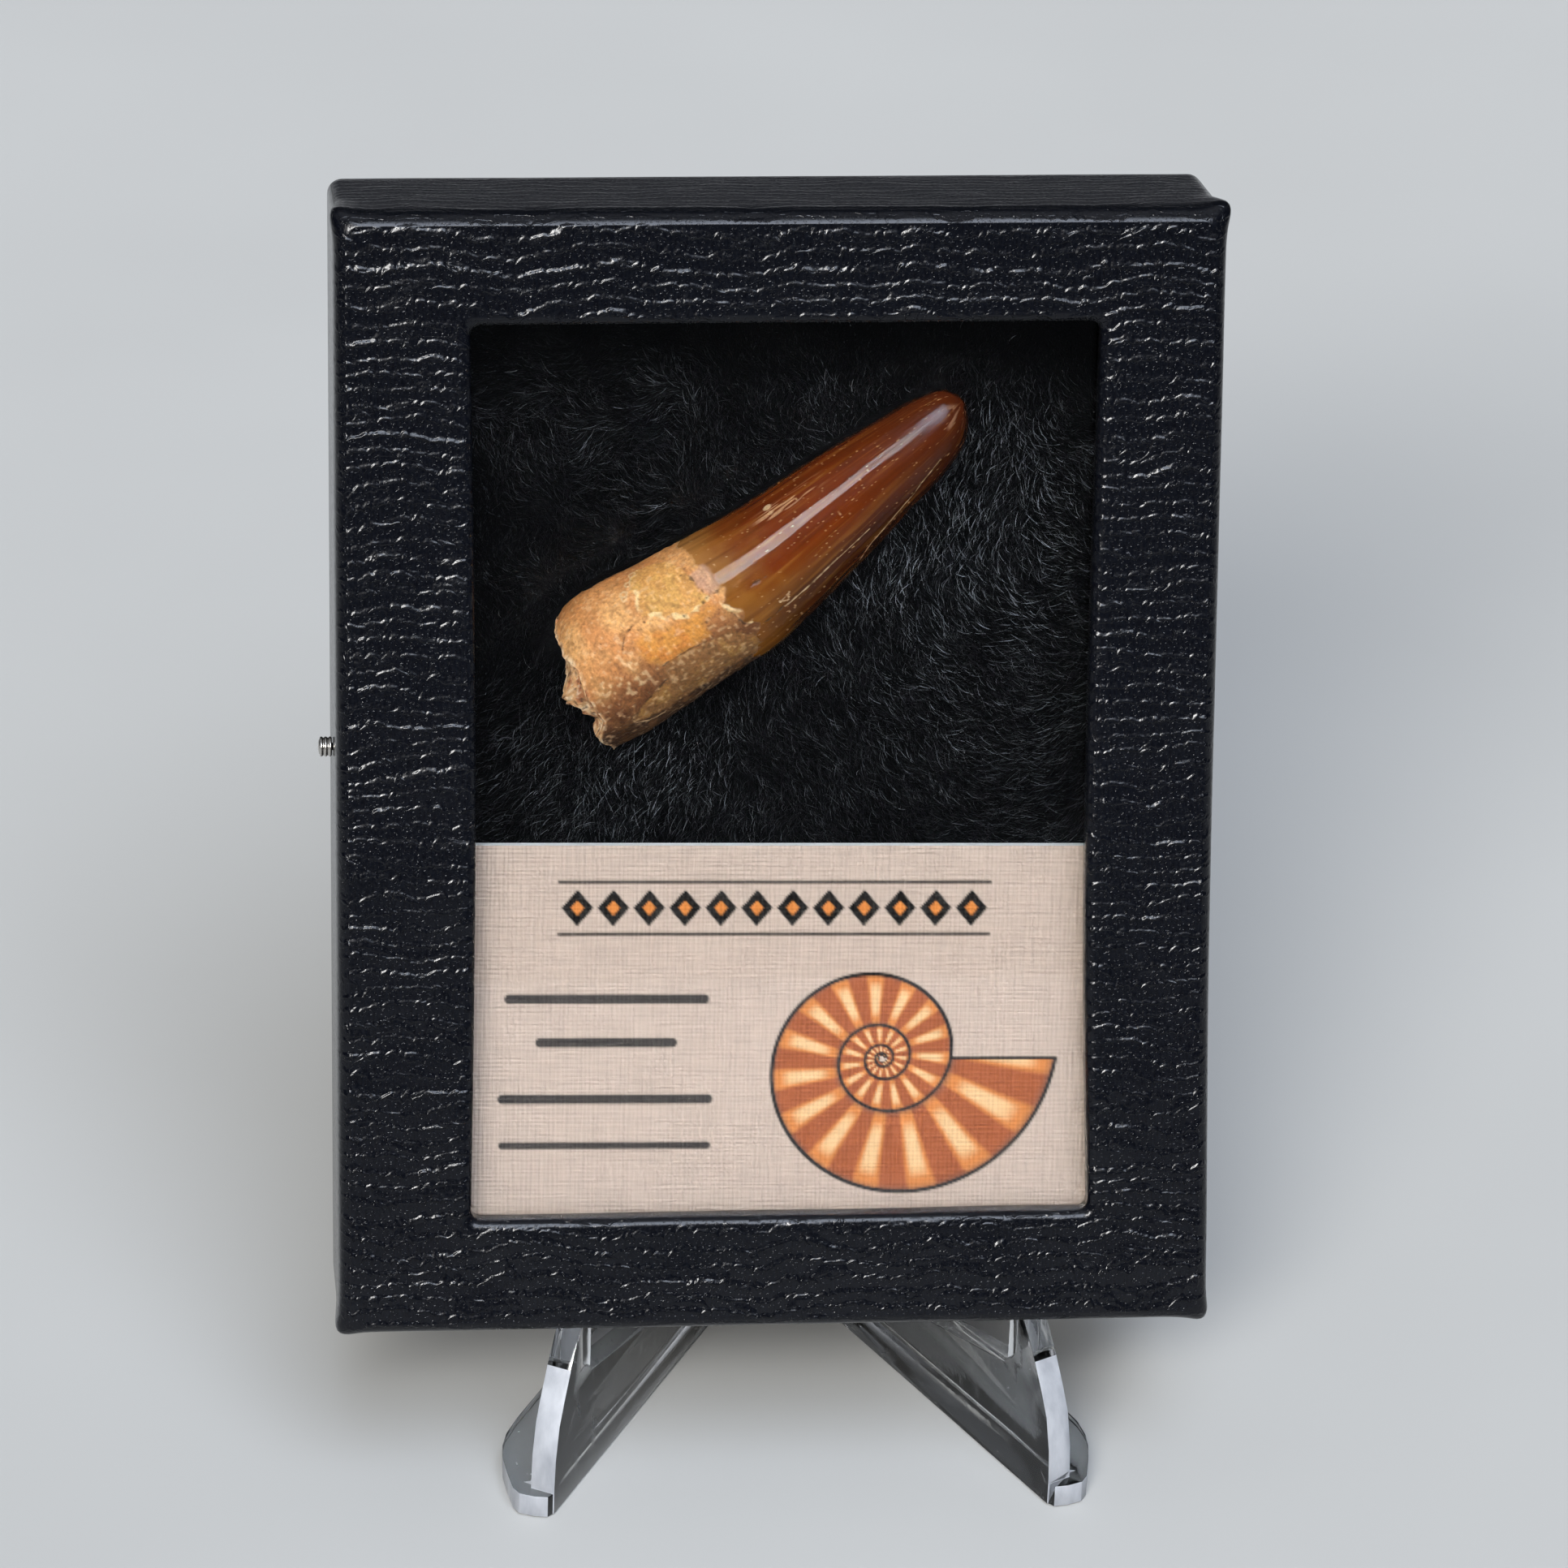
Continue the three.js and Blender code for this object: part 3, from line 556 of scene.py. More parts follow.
def softened_copy(node_name, name, materials, radius, segments=3, angle=30):
    """A merged copy of a CAD node with its sharp edges rounded, standing in its place."""
    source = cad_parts[node_name]
    data = source.data.copy()
    data.name = name
    work = bmesh.new()
    work.from_mesh(data)
    bmesh.ops.remove_doubles(work, verts=work.verts, dist=1e-6)
    bmesh.ops.dissolve_limit(work, angle_limit=radians(1), verts=work.verts, edges=work.edges)
    work.to_mesh(data)
    work.free()
    data.materials.clear()
    for m in materials:
        data.materials.append(m)
    data.shade_smooth()
    made = bpy.data.objects.new(name, data)
    bpy.context.scene.collection.objects.link(made)
    round_off = made.modifiers.new("rounding", "BEVEL")
    round_off.width = radius * MM
    round_off.segments = segments
    round_off.limit_method = "ANGLE"
    round_off.angle_limit = radians(angle)
    round_off.harden_normals = True
    made.data = finished_mesh(made)
    made.modifiers.clear()
    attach(made, "root")
    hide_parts(node_name)
    return made


# uncoated cover paper: matt, with a felted tooth and faint blotches
tray_paper, tree, shader = new_material("uncoated_black_cover_paper", IOR=1.45)
place = node(tree, "ShaderNodeTexCoord").outputs["Object"]
felt = node(tree, "ShaderNodeTexNoise", {"Vector": place, "Scale": 1 / (0.5 * MM), "Detail": 3.0})
blotch = node(tree, "ShaderNodeTexNoise", {"Vector": place, "Scale": 1 / (14 * MM), "Detail": 2.0})
tone = node(tree, "ShaderNodeMix", {"Factor": blotch, "A": srgb("#101114"), "B": srgb("#1b1c20")},
            data_type="RGBA")
dull = node(tree, "ShaderNodeMapRange", {"Value": felt, "To Min": 0.55, "To Max": 0.8})
tooth_of_paper = node(tree, "ShaderNodeBump", {"Height": felt, "Distance": 0.05 * MM, "Strength": 0.7})
dress(tree, shader, Base_Color=tone, Roughness=dull, Normal=tooth_of_paper)
tray = softened_copy("case_tray", "tray_board_box", [tray_paper], 0.45)

# extruded sheet: flat and clear, so that it hardly shows
pane_plastic, tree, shader = new_material("clear_extruded_polystyrene_sheet", Transmission_Weight=1.0,
                                          IOR=1.5, Roughness=0.0)
shader.inputs["Base Color"].default_value = srgb("#f7fafb")
pane = softened_copy("window_pane", "pane_clear_sheet", [pane_plastic], 0.12, 2)
pane.data.shade_flat()
print("tray", len(tray.data.polygons), "faces, pane", len(pane.data.polygons))

# %% [markdown]
# ## Pins
# Two nickel-plated steel pins hold the lid, each with a ribbed head. A pin is a turned piece, so one profile
# is spun round its axis. Plating is a metal, so its colour is its reflection. Fine marks run round the head
# as the lathe left them, and vary its roughness.

# %% Pins
# turned and plated: a warm grey metal with fine bright rings
nickel, tree, shader = new_material("nickel_plated_steel_turned", Metallic=1.0)
place = node(tree, "ShaderNodeTexCoord").outputs["Object"]
MARK_WIDE, MARK_LONG = 0.06, 1.5      # mm: a lathe mark along the pin, and round it
per_metre = [1 / (size * MM) for size in (MARK_WIDE, MARK_LONG, MARK_LONG)]
turned = node(tree, "ShaderNodeVectorMath", {0: place, 1: per_metre}, operation="MULTIPLY")
marks = node(tree, "ShaderNodeTexNoise", {"Vector": turned, "Scale": 1.0, "Detail": 2.0})
plate = node(tree, "ShaderNodeMix", {"Factor": marks, "A": srgb("#a9a6a0"), "B": srgb("#cfccc6")},
             data_type="RGBA")
worn = node(tree, "ShaderNodeMapRange", {"Value": marks, "To Min": 0.16, "To Max": 0.38})
dress(tree, shader, Base_Color=plate, Roughness=worn)

PIN_HEAD_R, PIN_HEAD_L, PIN_SHAFT_R, PIN_SHAFT_L, PIN_DEPTH = 0.95, 1.3, 0.35, 9.0, 9.5
PIN_SIDES, RIB_PITCH = 48, 0.42
# where the head ends, its height, and which way the pin points
PIN_SEATS = {"left": (-CASE_W / 2 - 0.1, 55.5, 1), "right": (CASE_W / 2 - 0.65, 58.5, -1)}


def pin_profile():
    """Radius and distance along the pin: a domed head with ribs, then the shaft and its point."""
    steps = [(0.0, -PIN_HEAD_L)]
    dome = [(sin(a), 1 - cos(a)) for a in (0.4, 0.8, 1.2, 1.57)]
    steps += [(PIN_HEAD_R * 0.8 * out, -PIN_HEAD_L + 0.16 * back) for out, back in dome]
    for x in np.linspace(-PIN_HEAD_L + 0.2, -0.06, 26):
        rib = 0.5 + 0.5 * cos(tau * (x + PIN_HEAD_L - 0.3) / RIB_PITCH)
        steps.append((PIN_HEAD_R * (0.86 + 0.14 * rib ** 0.5), x))
    steps += [(PIN_HEAD_R * 0.9, 0.0), (PIN_SHAFT_R, 0.0), (PIN_SHAFT_R, 4.0),
              (PIN_SHAFT_R, PIN_SHAFT_L - 1.5), (PIN_SHAFT_R * 0.5, PIN_SHAFT_L - 0.6), (0.0, PIN_SHAFT_L)]
    return np.array(steps)


def face_outward(obj):
    """Turns every face of a closed mesh outwards."""
    work = bmesh.new()
    work.from_mesh(obj.data)
    bmesh.ops.recalc_face_normals(work, faces=work.faces)
    work.to_mesh(obj.data)
    work.free()


def turned_pin(side, x, height, way):
    """Spins the profile; the first and last points of it close the two ends."""
    body = pin_profile()[1:-1]
    radius, along = body[:, :1], body[:, 1:]
    around = np.arange(PIN_SIDES) * tau / PIN_SIDES
    ring = np.stack([np.broadcast_to(x + way * along, (len(body), PIN_SIDES)),
                     PIN_DEPTH + radius * np.cos(around), height + way * radius * np.sin(around)], -1)
    points = np.concatenate([ring.reshape(-1, 3), [(x - way * PIN_HEAD_L, PIN_DEPTH, height),
                                                   (x + way * PIN_SHAFT_L, PIN_DEPTH, height)]])
    faces = grid_quads(len(body), PIN_SIDES, wrap_columns=True)[:, ::-1].tolist()
    first, last = len(points) - 2, len(points) - 1
    base = (len(body) - 1) * PIN_SIDES
    faces += [(first, (j + 1) % PIN_SIDES, j)[::-1] for j in range(PIN_SIDES)]
    faces += [(last, base + j, base + (j + 1) % PIN_SIDES)[::-1] for j in range(PIN_SIDES)]
    pin = add_mesh(f"pin_{side}_nickel", from_case(points), faces, [nickel])
    face_outward(pin)
    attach(pin, "root")
    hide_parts(f"pin_{side}")
    return pin


pins = [turned_pin(side, *seat) for side, seat in PIN_SEATS.items()]
print("pins:", [len(p.data.polygons) for p in pins])

# %% [markdown]
# ## Easel legs
# Each leg is one clear acrylic moulding: an upright web and a foot flange. It keeps the solid model's shape
# with its edges broken by a quarter millimetre. Clear acrylic is transmission with an IOR of 1.49. Handling
# leaves smudges and streaks that only change its roughness. The front edge of each leg is sawn and left
# frosted up to a line about 15 mm high, and so is the front of its foot: there the same plastic scatters.

# %% Easel legs
FROST_TOP, FROST_DEEP, FACES_FORWARD = 15.2, 12, 0.55   # mm over the ground, mm from the front, share
SPREAD = radians(28.2)                                  # how far each leg's foot turns from straight ahead
SMUDGE_WIDE, SMUDGE_HIGH, SCRATCH = 2.2, 7, 0.5         # mm


def acrylic(name, low, high, tint, dusty_tint, weight):
    """Clear plastic between two roughnesses and two tints, which upright smudges mix."""
    made, tree, shader = new_material(name, Transmission_Weight=weight, IOR=1.49)
    place = node(tree, "ShaderNodeTexCoord").outputs["Object"]
    per_metre = [1 / (size * MM) for size in (SMUDGE_WIDE, SMUDGE_WIDE, SMUDGE_HIGH)]
    upright = node(tree, "ShaderNodeVectorMath", {0: place, 1: per_metre}, operation="MULTIPLY")
    smudge = node(tree, "ShaderNodeTexNoise", {"Vector": upright, "Scale": 1.0, "Detail": 4.0,
                  "Roughness": 0.6})
    haze = node(tree, "ShaderNodeMapRange", {"Value": smudge, "From Min": 0.52, "From Max": 0.72,
                "To Min": low, "To Max": high})
    scratch = node(tree, "ShaderNodeTexNoise", {"Vector": place, "Scale": 1 / (SCRATCH * MM),
                   "Detail": 2.0})
    rub = node(tree, "ShaderNodeBump", {"Height": scratch, "Distance": 0.006 * MM, "Strength": 0.5})
    dusty = node(tree, "ShaderNodeMapRange", {"Value": smudge, "From Min": 0.35, "From Max": 0.70})
    tone = node(tree, "ShaderNodeMix", {"Factor": dusty, "A": srgb(tint), "B": srgb(dusty_tint)},
                data_type="RGBA")
    dress(tree, shader, Base_Color=tone, Roughness=haze, Normal=rub)
    return made


# moulded acrylic is as clear as glass; sawn, it is a white frost that still lets light through
clear = acrylic("acrylic_clear_moulded", 0.015, 0.30, "#fbfdff", "#eef0f2", 1.0)
frosted = acrylic("acrylic_sawn_edge_frosted", 0.42, 0.6, "#e6e9ee", "#b4b8bf", 0.66)
for side_name, lean_x in (("left", -1), ("right", 1)):
    leg = softened_copy(f"easel_{side_name}", f"easel_{side_name}_acrylic", [clear, frosted], 0.28, 3, 35)
    forward = Vector((lean_x * sin(SPREAD), -cos(SPREAD), 0))
    foot = max((v.co @ forward for v in leg.data.vertices if v.co.z < 3 * MM), default=0)
    for face in leg.data.polygons:
        front = face.normal @ forward > FACES_FORWARD and face.center @ forward > foot - FROST_DEEP * MM
        if front and face.center.z < FROST_TOP * MM:
            face.material_index = 1
    print(leg.name, len(leg.data.polygons), "faces,",
          sum(f.material_index for f in leg.data.polygons), "frosted")

# %% [markdown]
# ## The tooth
# A reptile tooth is a slightly curved cone. Its crown is covered in enamel, which here has turned a glossy
# chestnut brown, with fine ridges along it. The root below is dentine, matt and sandy, with flakes of enamel
# and matrix left on it, cracks between them, and a broken hollow end.
#
# The surface is written in the tooth's own terms: millimetres along its axis, from the broken end to the
# tip, and degrees round it, 0 on its upper side and 90 towards the window. Its outline is a short list of
# sections. The damage is drawn on the surface as a few outlines and lines in the same terms. Each gives both
# a little relief in the mesh and a mask that the material reads, so colour and shape agree.

# %% Tooth shape
TOOTH_X, TOOTH_Y, TOOTH_Z, TOOTH_ANGLE = -19.27, 10.4, 61.5, radians(35.04)   # where the axis starts
TIP_RISE, RISE_AT = 0.7, (10, 45)     # the tip lies this much nearer the window; where it starts to, and ends
THICKNESS = 0.79                      # depth of a section over its width
LAST_RING, TIP_AT = 45.68, 45.82      # the last ring of the surface, and the tip that closes it
SECTIONS = np.array([                 # along the axis, sideways shift of the middle, half width
    (-1.0, -1.9, 6.0), (1.0, -1.7, 6.4), (4.0, -1.25, 7.3), (8.0, -1.3, 7.25), (12.0, -1.6, 7.0),
    (16.0, -1.9, 6.8), (18.5, -2.0, 6.65), (21.0, -1.95, 6.3), (24.5, -1.7, 5.9), (28.0, -1.35, 5.5),
    (32.0, -1.0, 5.05), (36.0, -0.6, 4.45), (39.0, -0.4, 4.05), (41.5, -0.15, 3.6), (43.4, 0.1, 3.0),
    (44.6, 0.4, 2.3), (45.3, 0.55, 1.45), (45.7, 0.6, 0.6)])
GIRTH = 0.105            # mm of surface per degree round the tooth


def section(along):
    """Middle and half width at a distance along the tooth, on a smooth curve through the sections."""
    knots = SECTIONS[:, 0]
    i = np.clip(np.searchsorted(knots, along) - 1, 0, len(knots) - 2)
    before, after = np.maximum(i - 1, 0), np.minimum(i + 2, len(knots) - 1)
    span = knots[i + 1] - knots[i]
    u = np.clip((along - knots[i]) / span, 0, 1)
    found = []
    for k in (1, 2):
        v = SECTIONS[:, k]
        m0 = (v[i + 1] - v[before]) / (knots[i + 1] - knots[before]) * span
        m1 = (v[after] - v[i]) / (knots[after] - knots[i]) * span
        found.append((2 * u ** 3 - 3 * u ** 2 + 1) * v[i] + (u ** 3 - 2 * u ** 2 + u) * m0
                     + (3 * u ** 2 - 2 * u ** 3) * v[i + 1] + (u ** 3 - u ** 2) * m1)
    return found


def line_distance(along, angle, points):
    """Millimetres on the surface to a drawn line of (along, degrees) points."""
    best = np.full(np.shape(along), 1e9)
    p = np.array(points, float)
    for (a0, d0), (a1, d1) in zip(p[:-1], p[1:]):
        ex, ey = a1 - a0, (d1 - d0) * GIRTH
        px, py = along - a0, (angle - d0) * GIRTH
        t = np.clip((px * ex + py * ey) / (ex * ex + ey * ey), 0, 1)
        best = np.minimum(best, np.hypot(px - t * ex, py - t * ey))
    return best


def inside(along, angle, outline):
    """1 inside a closed outline of (along, degrees) points."""
    odd = np.zeros(np.shape(along), bool)
    p = np.array(outline, float)
    for (a0, d0), (a1, d1) in zip(p, np.roll(p, -1, 0)):
        if d0 != d1:
            crosses = (angle < d0) != (angle < d1)
            odd ^= crosses & (along < a0 + (angle - d0) / (d1 - d0) * (a1 - a0))
    return odd.astype(float)


def patch(along, angle, outline, soft=0.12):
    """An outline's mask with a soft, slightly ragged edge: 1 inside, 0 outside."""
    closed = list(outline) + [outline[0]]
    signed = line_distance(along, angle, closed) * (2 * inside(along, angle, outline) - 1)
    return ease(-soft, soft, signed + 0.1 * rough_noise(21, 2, along * 2.5, angle * GIRTH * 2.5))


# drawn features, in (along, degrees)
ENAMEL_EDGE = [(15.6, -30), (16.3, 10), (16.5, 30), (17.2, 50), (17.4, 73), (16.5, 84), (17.3, 97),
               (18.0, 115), (17.2, 130), (16.0, 150), (16.8, 200)]
PLATE = [(11.6, 12), (10.5, 25), (10.2, 33), (10.5, 40), (9.9, 50), (9.8, 61), (10.8, 64), (11.6, 70),
         (12.4, 74), (13.3, 77), (15.2, 76), (15.9, 72), (15.5, 66), (15.6, 52), (15.2, 40), (14.6, 28),
         (14.2, 22)]
PLATE_RIM = PLATE[:12]
GOLD = [(8.0, 75), (9.3, 73), (11.2, 79), (13.2, 80), (15.6, 79), (15.9, 82), (14.4, 87), (14.0, 92),
        (14.0, 100), (9.4, 102), (7.9, 94), (7.7, 84)]
LOWER_FLAKE = [(8.7, 103), (10.5, 102), (12.0, 102.5), (13.6, 104), (15.8, 108), (17.4, 126), (17.0, 142),
               (6.6, 142), (3.6, 133), (3.3, 128), (5.6, 120), (7.3, 117), (8.4, 114), (8.3, 108)]
LILAC = [(15.6, 48), (17.2, 46), (17.5, 62), (17.3, 71), (16.2, 73), (15.6, 62)]
GOLD_EDGE = [(16.5, 83), (16.9, 92), (17.5, 100), (17.8, 109)]
DARK_CRACKS = [
    [(8.7, 102), (9.8, 101.5), (10.9, 102.2), (12.0, 101.8), (12.8, 103.5), (13.8, 103.5), (14.2, 106)],
    [(16.5, 84), (16.6, 90), (17.0, 97), (17.1, 107), (17.6, 113), (18.0, 117), (19.6, 119), (21.2, 118)],
    [(8.3, 108), (8.5, 113), (7.4, 116), (6.2, 119), (5.4, 121)],
    [(15.4, 73), (16.4, 72.5), (17.6, 72.5)], [(15.5, 48), (15.6, 62), (15.9, 72)],
    [(19.4, 85), (20.4, 84.5), (21.4, 86)], [(6.5, 74), (7.4, 66), (8.6, 62)]]
PALE_LINES = [
    [(29.3, 152), (30.0, 146), (31.3, 140), (33.0, 138.5), (35.0, 136.5), (37.0, 134), (38.2, 128),
     (41.0, 122)],
    [(21.2, 119.5), (24.0, 120.5), (27.0, 120.5), (31.8, 121)],
    [(3.3, 128), (3.4, 134), (4.6, 141), (6.2, 144)],
    [(21.0, 111), (21.8, 116.5), (22.3, 110.5), (21.0, 113)]]
# pits and rings have a radius too, ovals two half sizes, in mm
PITS = [(13.0, 76.5, 0.20), (15.2, 74.8, 0.22), (8.7, 68, 0.12), (5.1, 61.5, 0.12), (14.9, 44.5, 0.14),
        (4.9, 38, 0.10), (14.4, 90, 0.16), (14.8, 88, 0.12), (9.6, 65, 0.14), (16.0, 86, 0.1)]
RINGS = [(9.4, 34, 0.32), (9.2, 38.5, 0.22), (10.2, 26, 0.26), (11.0, 17, 0.34)]
OVALS = [(25.1, 31, 0.42, 0.36), (25.1, 39, 0.3, 0.2)]
# where the surface breaks off, and how far the broken inside stands out past that
RIM_EDGE = [(3.0, -30), (2.75, -5), (2.15, 12), (1.75, 26), (1.55, 39), (1.4, 49), (2.0, 62), (1.65, 70),
            (1.25, 79), (1.15, 90), (1.0, 101), (0.95, 115), (0.2, 122), (-0.45, 130), (-0.1, 146),
            (0.2, 200), (1.6, 260), (3.0, 330)]
CRUMB_REACH = [(0, 38), (0.5, 46), (1.3, 53), (2.6, 62), (2.85, 69), (1.95, 80), (1.2, 97), (0.95, 110),
               (0.4, 118), (0, 125)]
print("sections", len(SECTIONS), "cracks", len(DARK_CRACKS))

# %% [markdown]
# ## Damage and wear
# The real tooth's enamel ends in a ragged line over the root, and flakes, chips, cracks, pits and scrapes
# tell its age. They could be sculpted by hand, but then a colour map would have to be painted to match. Here
# each drawn outline or line becomes a mask, a number from 0 to 1 at every point, with its edge roughened by
# noise. The relief and the paint both read the same masks.

# %% Tooth masks and relief
def drawn_at(angle, line):
    """The place along the tooth, at each angle, of a line that goes round it."""
    return np.interp(angle, [d for _, d in line], [a for a, _ in line])


def broken_rim(angle):
    """Where the outer surface is broken off, for each angle."""
    drawn = drawn_at(angle, RIM_EDGE)
    return drawn + 0.16 * rough_noise(5, 3, angle * GIRTH * 1.1, np.zeros_like(angle))


def tooth_masks(along, angle):
    """Every drawn feature as a mask from 0 to 1."""
    g = angle * GIRTH
    wander = 0.16 * rough_noise(41, 2, along * 1.6, g * 1.6)
    edge = drawn_at(angle, ENAMEL_EDGE)
    m = {"enamel": ease(-0.3, 0.25, along - edge + 0.5 * rough_noise(31, 3, g * 0.9, along * 0.5))}
    for name, outline, soft in (("plate", PLATE, 0.15), ("gold", GOLD, 0.45), ("lower", LOWER_FLAKE, 0.2),
                                ("lilac", LILAC, 0.2)):
        m[name] = patch(along, angle, outline, soft)
    chips = ease(-0.2, 0.35, value_noise(42, along * 1.7, g * 1.7) + 0.2)
    rims = [(PLATE_RIM, 0.26), (GOLD_EDGE, 0.34)]
    m["chip"] = chips * np.maximum.reduce(
        [ease(wide, wide * 0.35, line_distance(along, angle, line) + wander) for line, wide in rims])
    rough = np.hypot(along - 4.75, (angle - 91) * GIRTH / 0.85)
    m["granular"] = ease(3.2, 1.6, rough + 0.7 * value_noise(43, along, g))
    dark = np.minimum.reduce([line_distance(along, angle, line) for line in DARK_CRACKS]) + wander * 0.5
    broken_up = ease(-0.6, 0.1, value_noise(46, along * 2.2, g * 2.2))
    pits = np.maximum.reduce(
        [ease(r, r * 0.5, np.hypot(along - a, (angle - d) * GIRTH)) for a, d, r in PITS])
    m["crack"] = np.maximum(ease(0.08, 0.02, dark) * broken_up, pits)
    pale = np.minimum.reduce([line_distance(along, angle, line) for line in PALE_LINES]) + wander * 0.25
    circles = [ease(0.14, 0.05, np.abs(np.hypot(along - a, (angle - d) * GIRTH) - r))
               for a, d, r in RINGS]
    ovals = [ease(1.1, 0.8, np.hypot((along - a) / rx, (angle - d) * GIRTH / ry))
             for a, d, rx, ry in OVALS]
    m["pale"] = np.maximum.reduce([ease(0.09, 0.02, pale) * (0.4 + 0.6 * broken_up)] + circles + ovals)
    scrape = ease(1.2, 0.2, np.abs((angle - 40) * GIRTH)) * ease(22.5, 25, along) * ease(32, 29, along)
    m["scrape"] = scrape * ease(0.1, 0.5, value_noise(44, along * 0.55, g * 7))
    return m


def tooth_relief(along, angle, m):
    """Millimetres out of the smooth shape: the root lies lower than the enamel, flakes and chips stand on it,
    cracks go in, its face is lumpy and grainy, and fine ridges run along the enamel."""
    g = angle * GIRTH
    root = 1 - m["enamel"]
    out = -0.12 * root + 0.08 * m["plate"] + 0.10 * m["chip"] - 0.10 * m["lower"] - 0.13 * m["crack"]
    out = out + root * (0.09 * value_noise(53, along * 0.35, g * 0.4) + 0.05 * rough_noise(51, 2, along, g))
    out = out + root * (1 - 0.6 * m["plate"]) * (0.022 * value_noise(57, along * 3, g * 3) * 1.7
                                                 + 0.026 * value_noise(58, along * 5.5, g * 5.5))
    out = out + m["granular"] * 0.07 * rough_noise(52, 2, along * 2.7, g * 2.7)
    ridges = value_noise(54, along * 0.09, g * 1.9) * 0.022 + value_noise(55, along * 0.16, g * 4.2) * 0.009
    return out + m["enamel"] * ridges * ease(45, 40, along) + m["pale"] * 0.02 - m["scrape"] * 0.02


def tooth_points(along, angle, scale=1.0, relief=0.0):
    """Points of the tooth in case space; scale goes inward from the surface."""
    middle, half = section(along)
    turn = np.radians(angle)
    r = (half + relief) * scale
    up = middle + r * np.cos(turn)
    depth = TOOTH_Y - TIP_RISE * ease(*RISE_AT, along) - r * THICKNESS * np.sin(turn)
    x = TOOTH_X + along * cos(TOOTH_ANGLE) - up * sin(TOOTH_ANGLE)
    z = TOOTH_Z + along * sin(TOOTH_ANGLE) + up * cos(TOOTH_ANGLE)
    return np.stack([x, depth, z], -1)


print("pits", len(PITS), "rings", len(RINGS), "pale lines", len(PALE_LINES))

# %% [markdown]
# ## The tooth's colours
# Minerals stained the tooth in the ground: the root sandy, with ochre and brown patches, the enamel golden by
# the root and deep red-brown above. Both are also painted darker towards their underside, as painted shade. A
# painter lays such colours one over another, and so does this cell: each line gives a colour and where it
# goes, from a mask, a place or a noise.

# %% Tooth paint
def base_colour(code, shape):
    """An array of one colour to paint on."""
    return np.broadcast_to(np.array(srgb(code)[:3]), (*shape, 3)).copy()


def paint_root(along, angle, m):
    """Dentine: sandy, with patches, grains and the flakes that lie on it, and painted shade towards its
    underside.
    """
    g = angle * GIRTH
    big, mid = rough_noise(81, 2, along * 0.4, g * 0.4), rough_noise(82, 3, along * 1.1, g * 1.1)
    small, tiny = value_noise(83, along * 3.1, g * 3.1), value_noise(84, along * 6, g * 6)
    c = base_colour("#ca864c", along.shape)
    paint(c, "#e0a666", ease(-0.4, 0.7, big) * 0.8)
    paint(c, "#c07a42", ease(48, 5, angle) * 0.7)
    # painted shade: the root is painted darker towards its underside, and darkest near it
    paint(c, "#66381a", ease(72, 112, angle) * 0.9)
    paint(c, "#341c08", ease(104, 138, angle) * 0.9)
    paint(c, "#9d6c3e", ease(0.0, 0.8, mid) * 0.30)
    paint(c, "#d0984e", m["plate"] * 0.7)
    paint(c, "#c48a48", m["plate"] * ease(-0.1, 0.6, mid) * 0.7)
    paint(c, "#cc9a50", m["plate"] * ease(0.0, 0.7, -mid) * 0.6)
    paint(c, "#d08a36", m["gold"] * 0.85)
    paint(c, "#c0702e", m["gold"] * ease(0.0, 0.7, mid) * 0.6)
    paint(c, "#9a6c3c", m["lower"] * 0.6)
    paint(c, "#765230", m["lower"] * ease(0.0, 0.6, mid) * 0.5)
    paint(c, "#9c7238", m["lower"] * ease(0.1, 0.7, -mid) * 0.6)
    paint(c, "#eec496", ease(0.30, 0.80, small) * 0.30)
    paint(c, "#6f4522", ease(0.35, 0.80, -small) * 0.36)
    paint(c, "#8a5a30", ease(0.35, 0.9, tiny) * 0.22)
    paint(c, "#f1cf9c", m["granular"] * ease(0.1, 0.8, small) * 0.25)
    return c


def paint_enamel(along, angle):
    """Enamel: golden by the root, red-brown above, darker to the tip, in fine lengthwise streaks, with
    painted shade towards its underside.
    """
    g = angle * GIRTH
    streak = rough_noise(91, 2, along * 0.11, g * 1.7)
    hair = value_noise(92, along * 0.3, g * 6)
    mid, tiny = rough_noise(93, 2, along * 0.8, g), value_noise(94, along * 5, g * 5)
    c = base_colour("#682806", along.shape)
    paint(c, "#8c5a22", ease(25, 15, along + 1.6 * mid) * 0.9)
    paint(c, "#a87640", ease(21, 14, along) * ease(80, 45, angle) * 0.75)
    paint(c, "#8a561c", ease(34, 18, along) * ease(84, 112, angle) * 0.75)
    paint(c, "#5c2206", ease(58, 28, angle) * ease(17, 24, along) * 0.8)
    paint(c, "#4a1c08", ease(26, 43, along) * 0.8)
    # painted shade: the enamel is painted darker towards its underside
    paint(c, "#381605", ease(90, 126, angle) * ease(15, 24, along) * 0.9)
    paint(c, "#481c06", ease(0.1, 0.9, streak) * 0.35)
    paint(c, "#946024", ease(0.15, 0.9, -streak) * 0.30 * ease(42, 30, along))
    paint(c, "#3c1806", ease(0.3, 0.9, hair) * 0.15)
    paint(c, "#a8702e", ease(0.5, 0.95, -hair) * 0.15)
    scuff = ease(1.5, 0.5, np.hypot((along - 44.2) / 0.9, (angle - 92) / 24)) * ease(-0.1, 0.5, mid)
    paint(c, "#b58a68", scuff * 0.55)
    paint(c, "#d0a878", ease(0.80, 0.95, tiny) * 0.55)
    return c


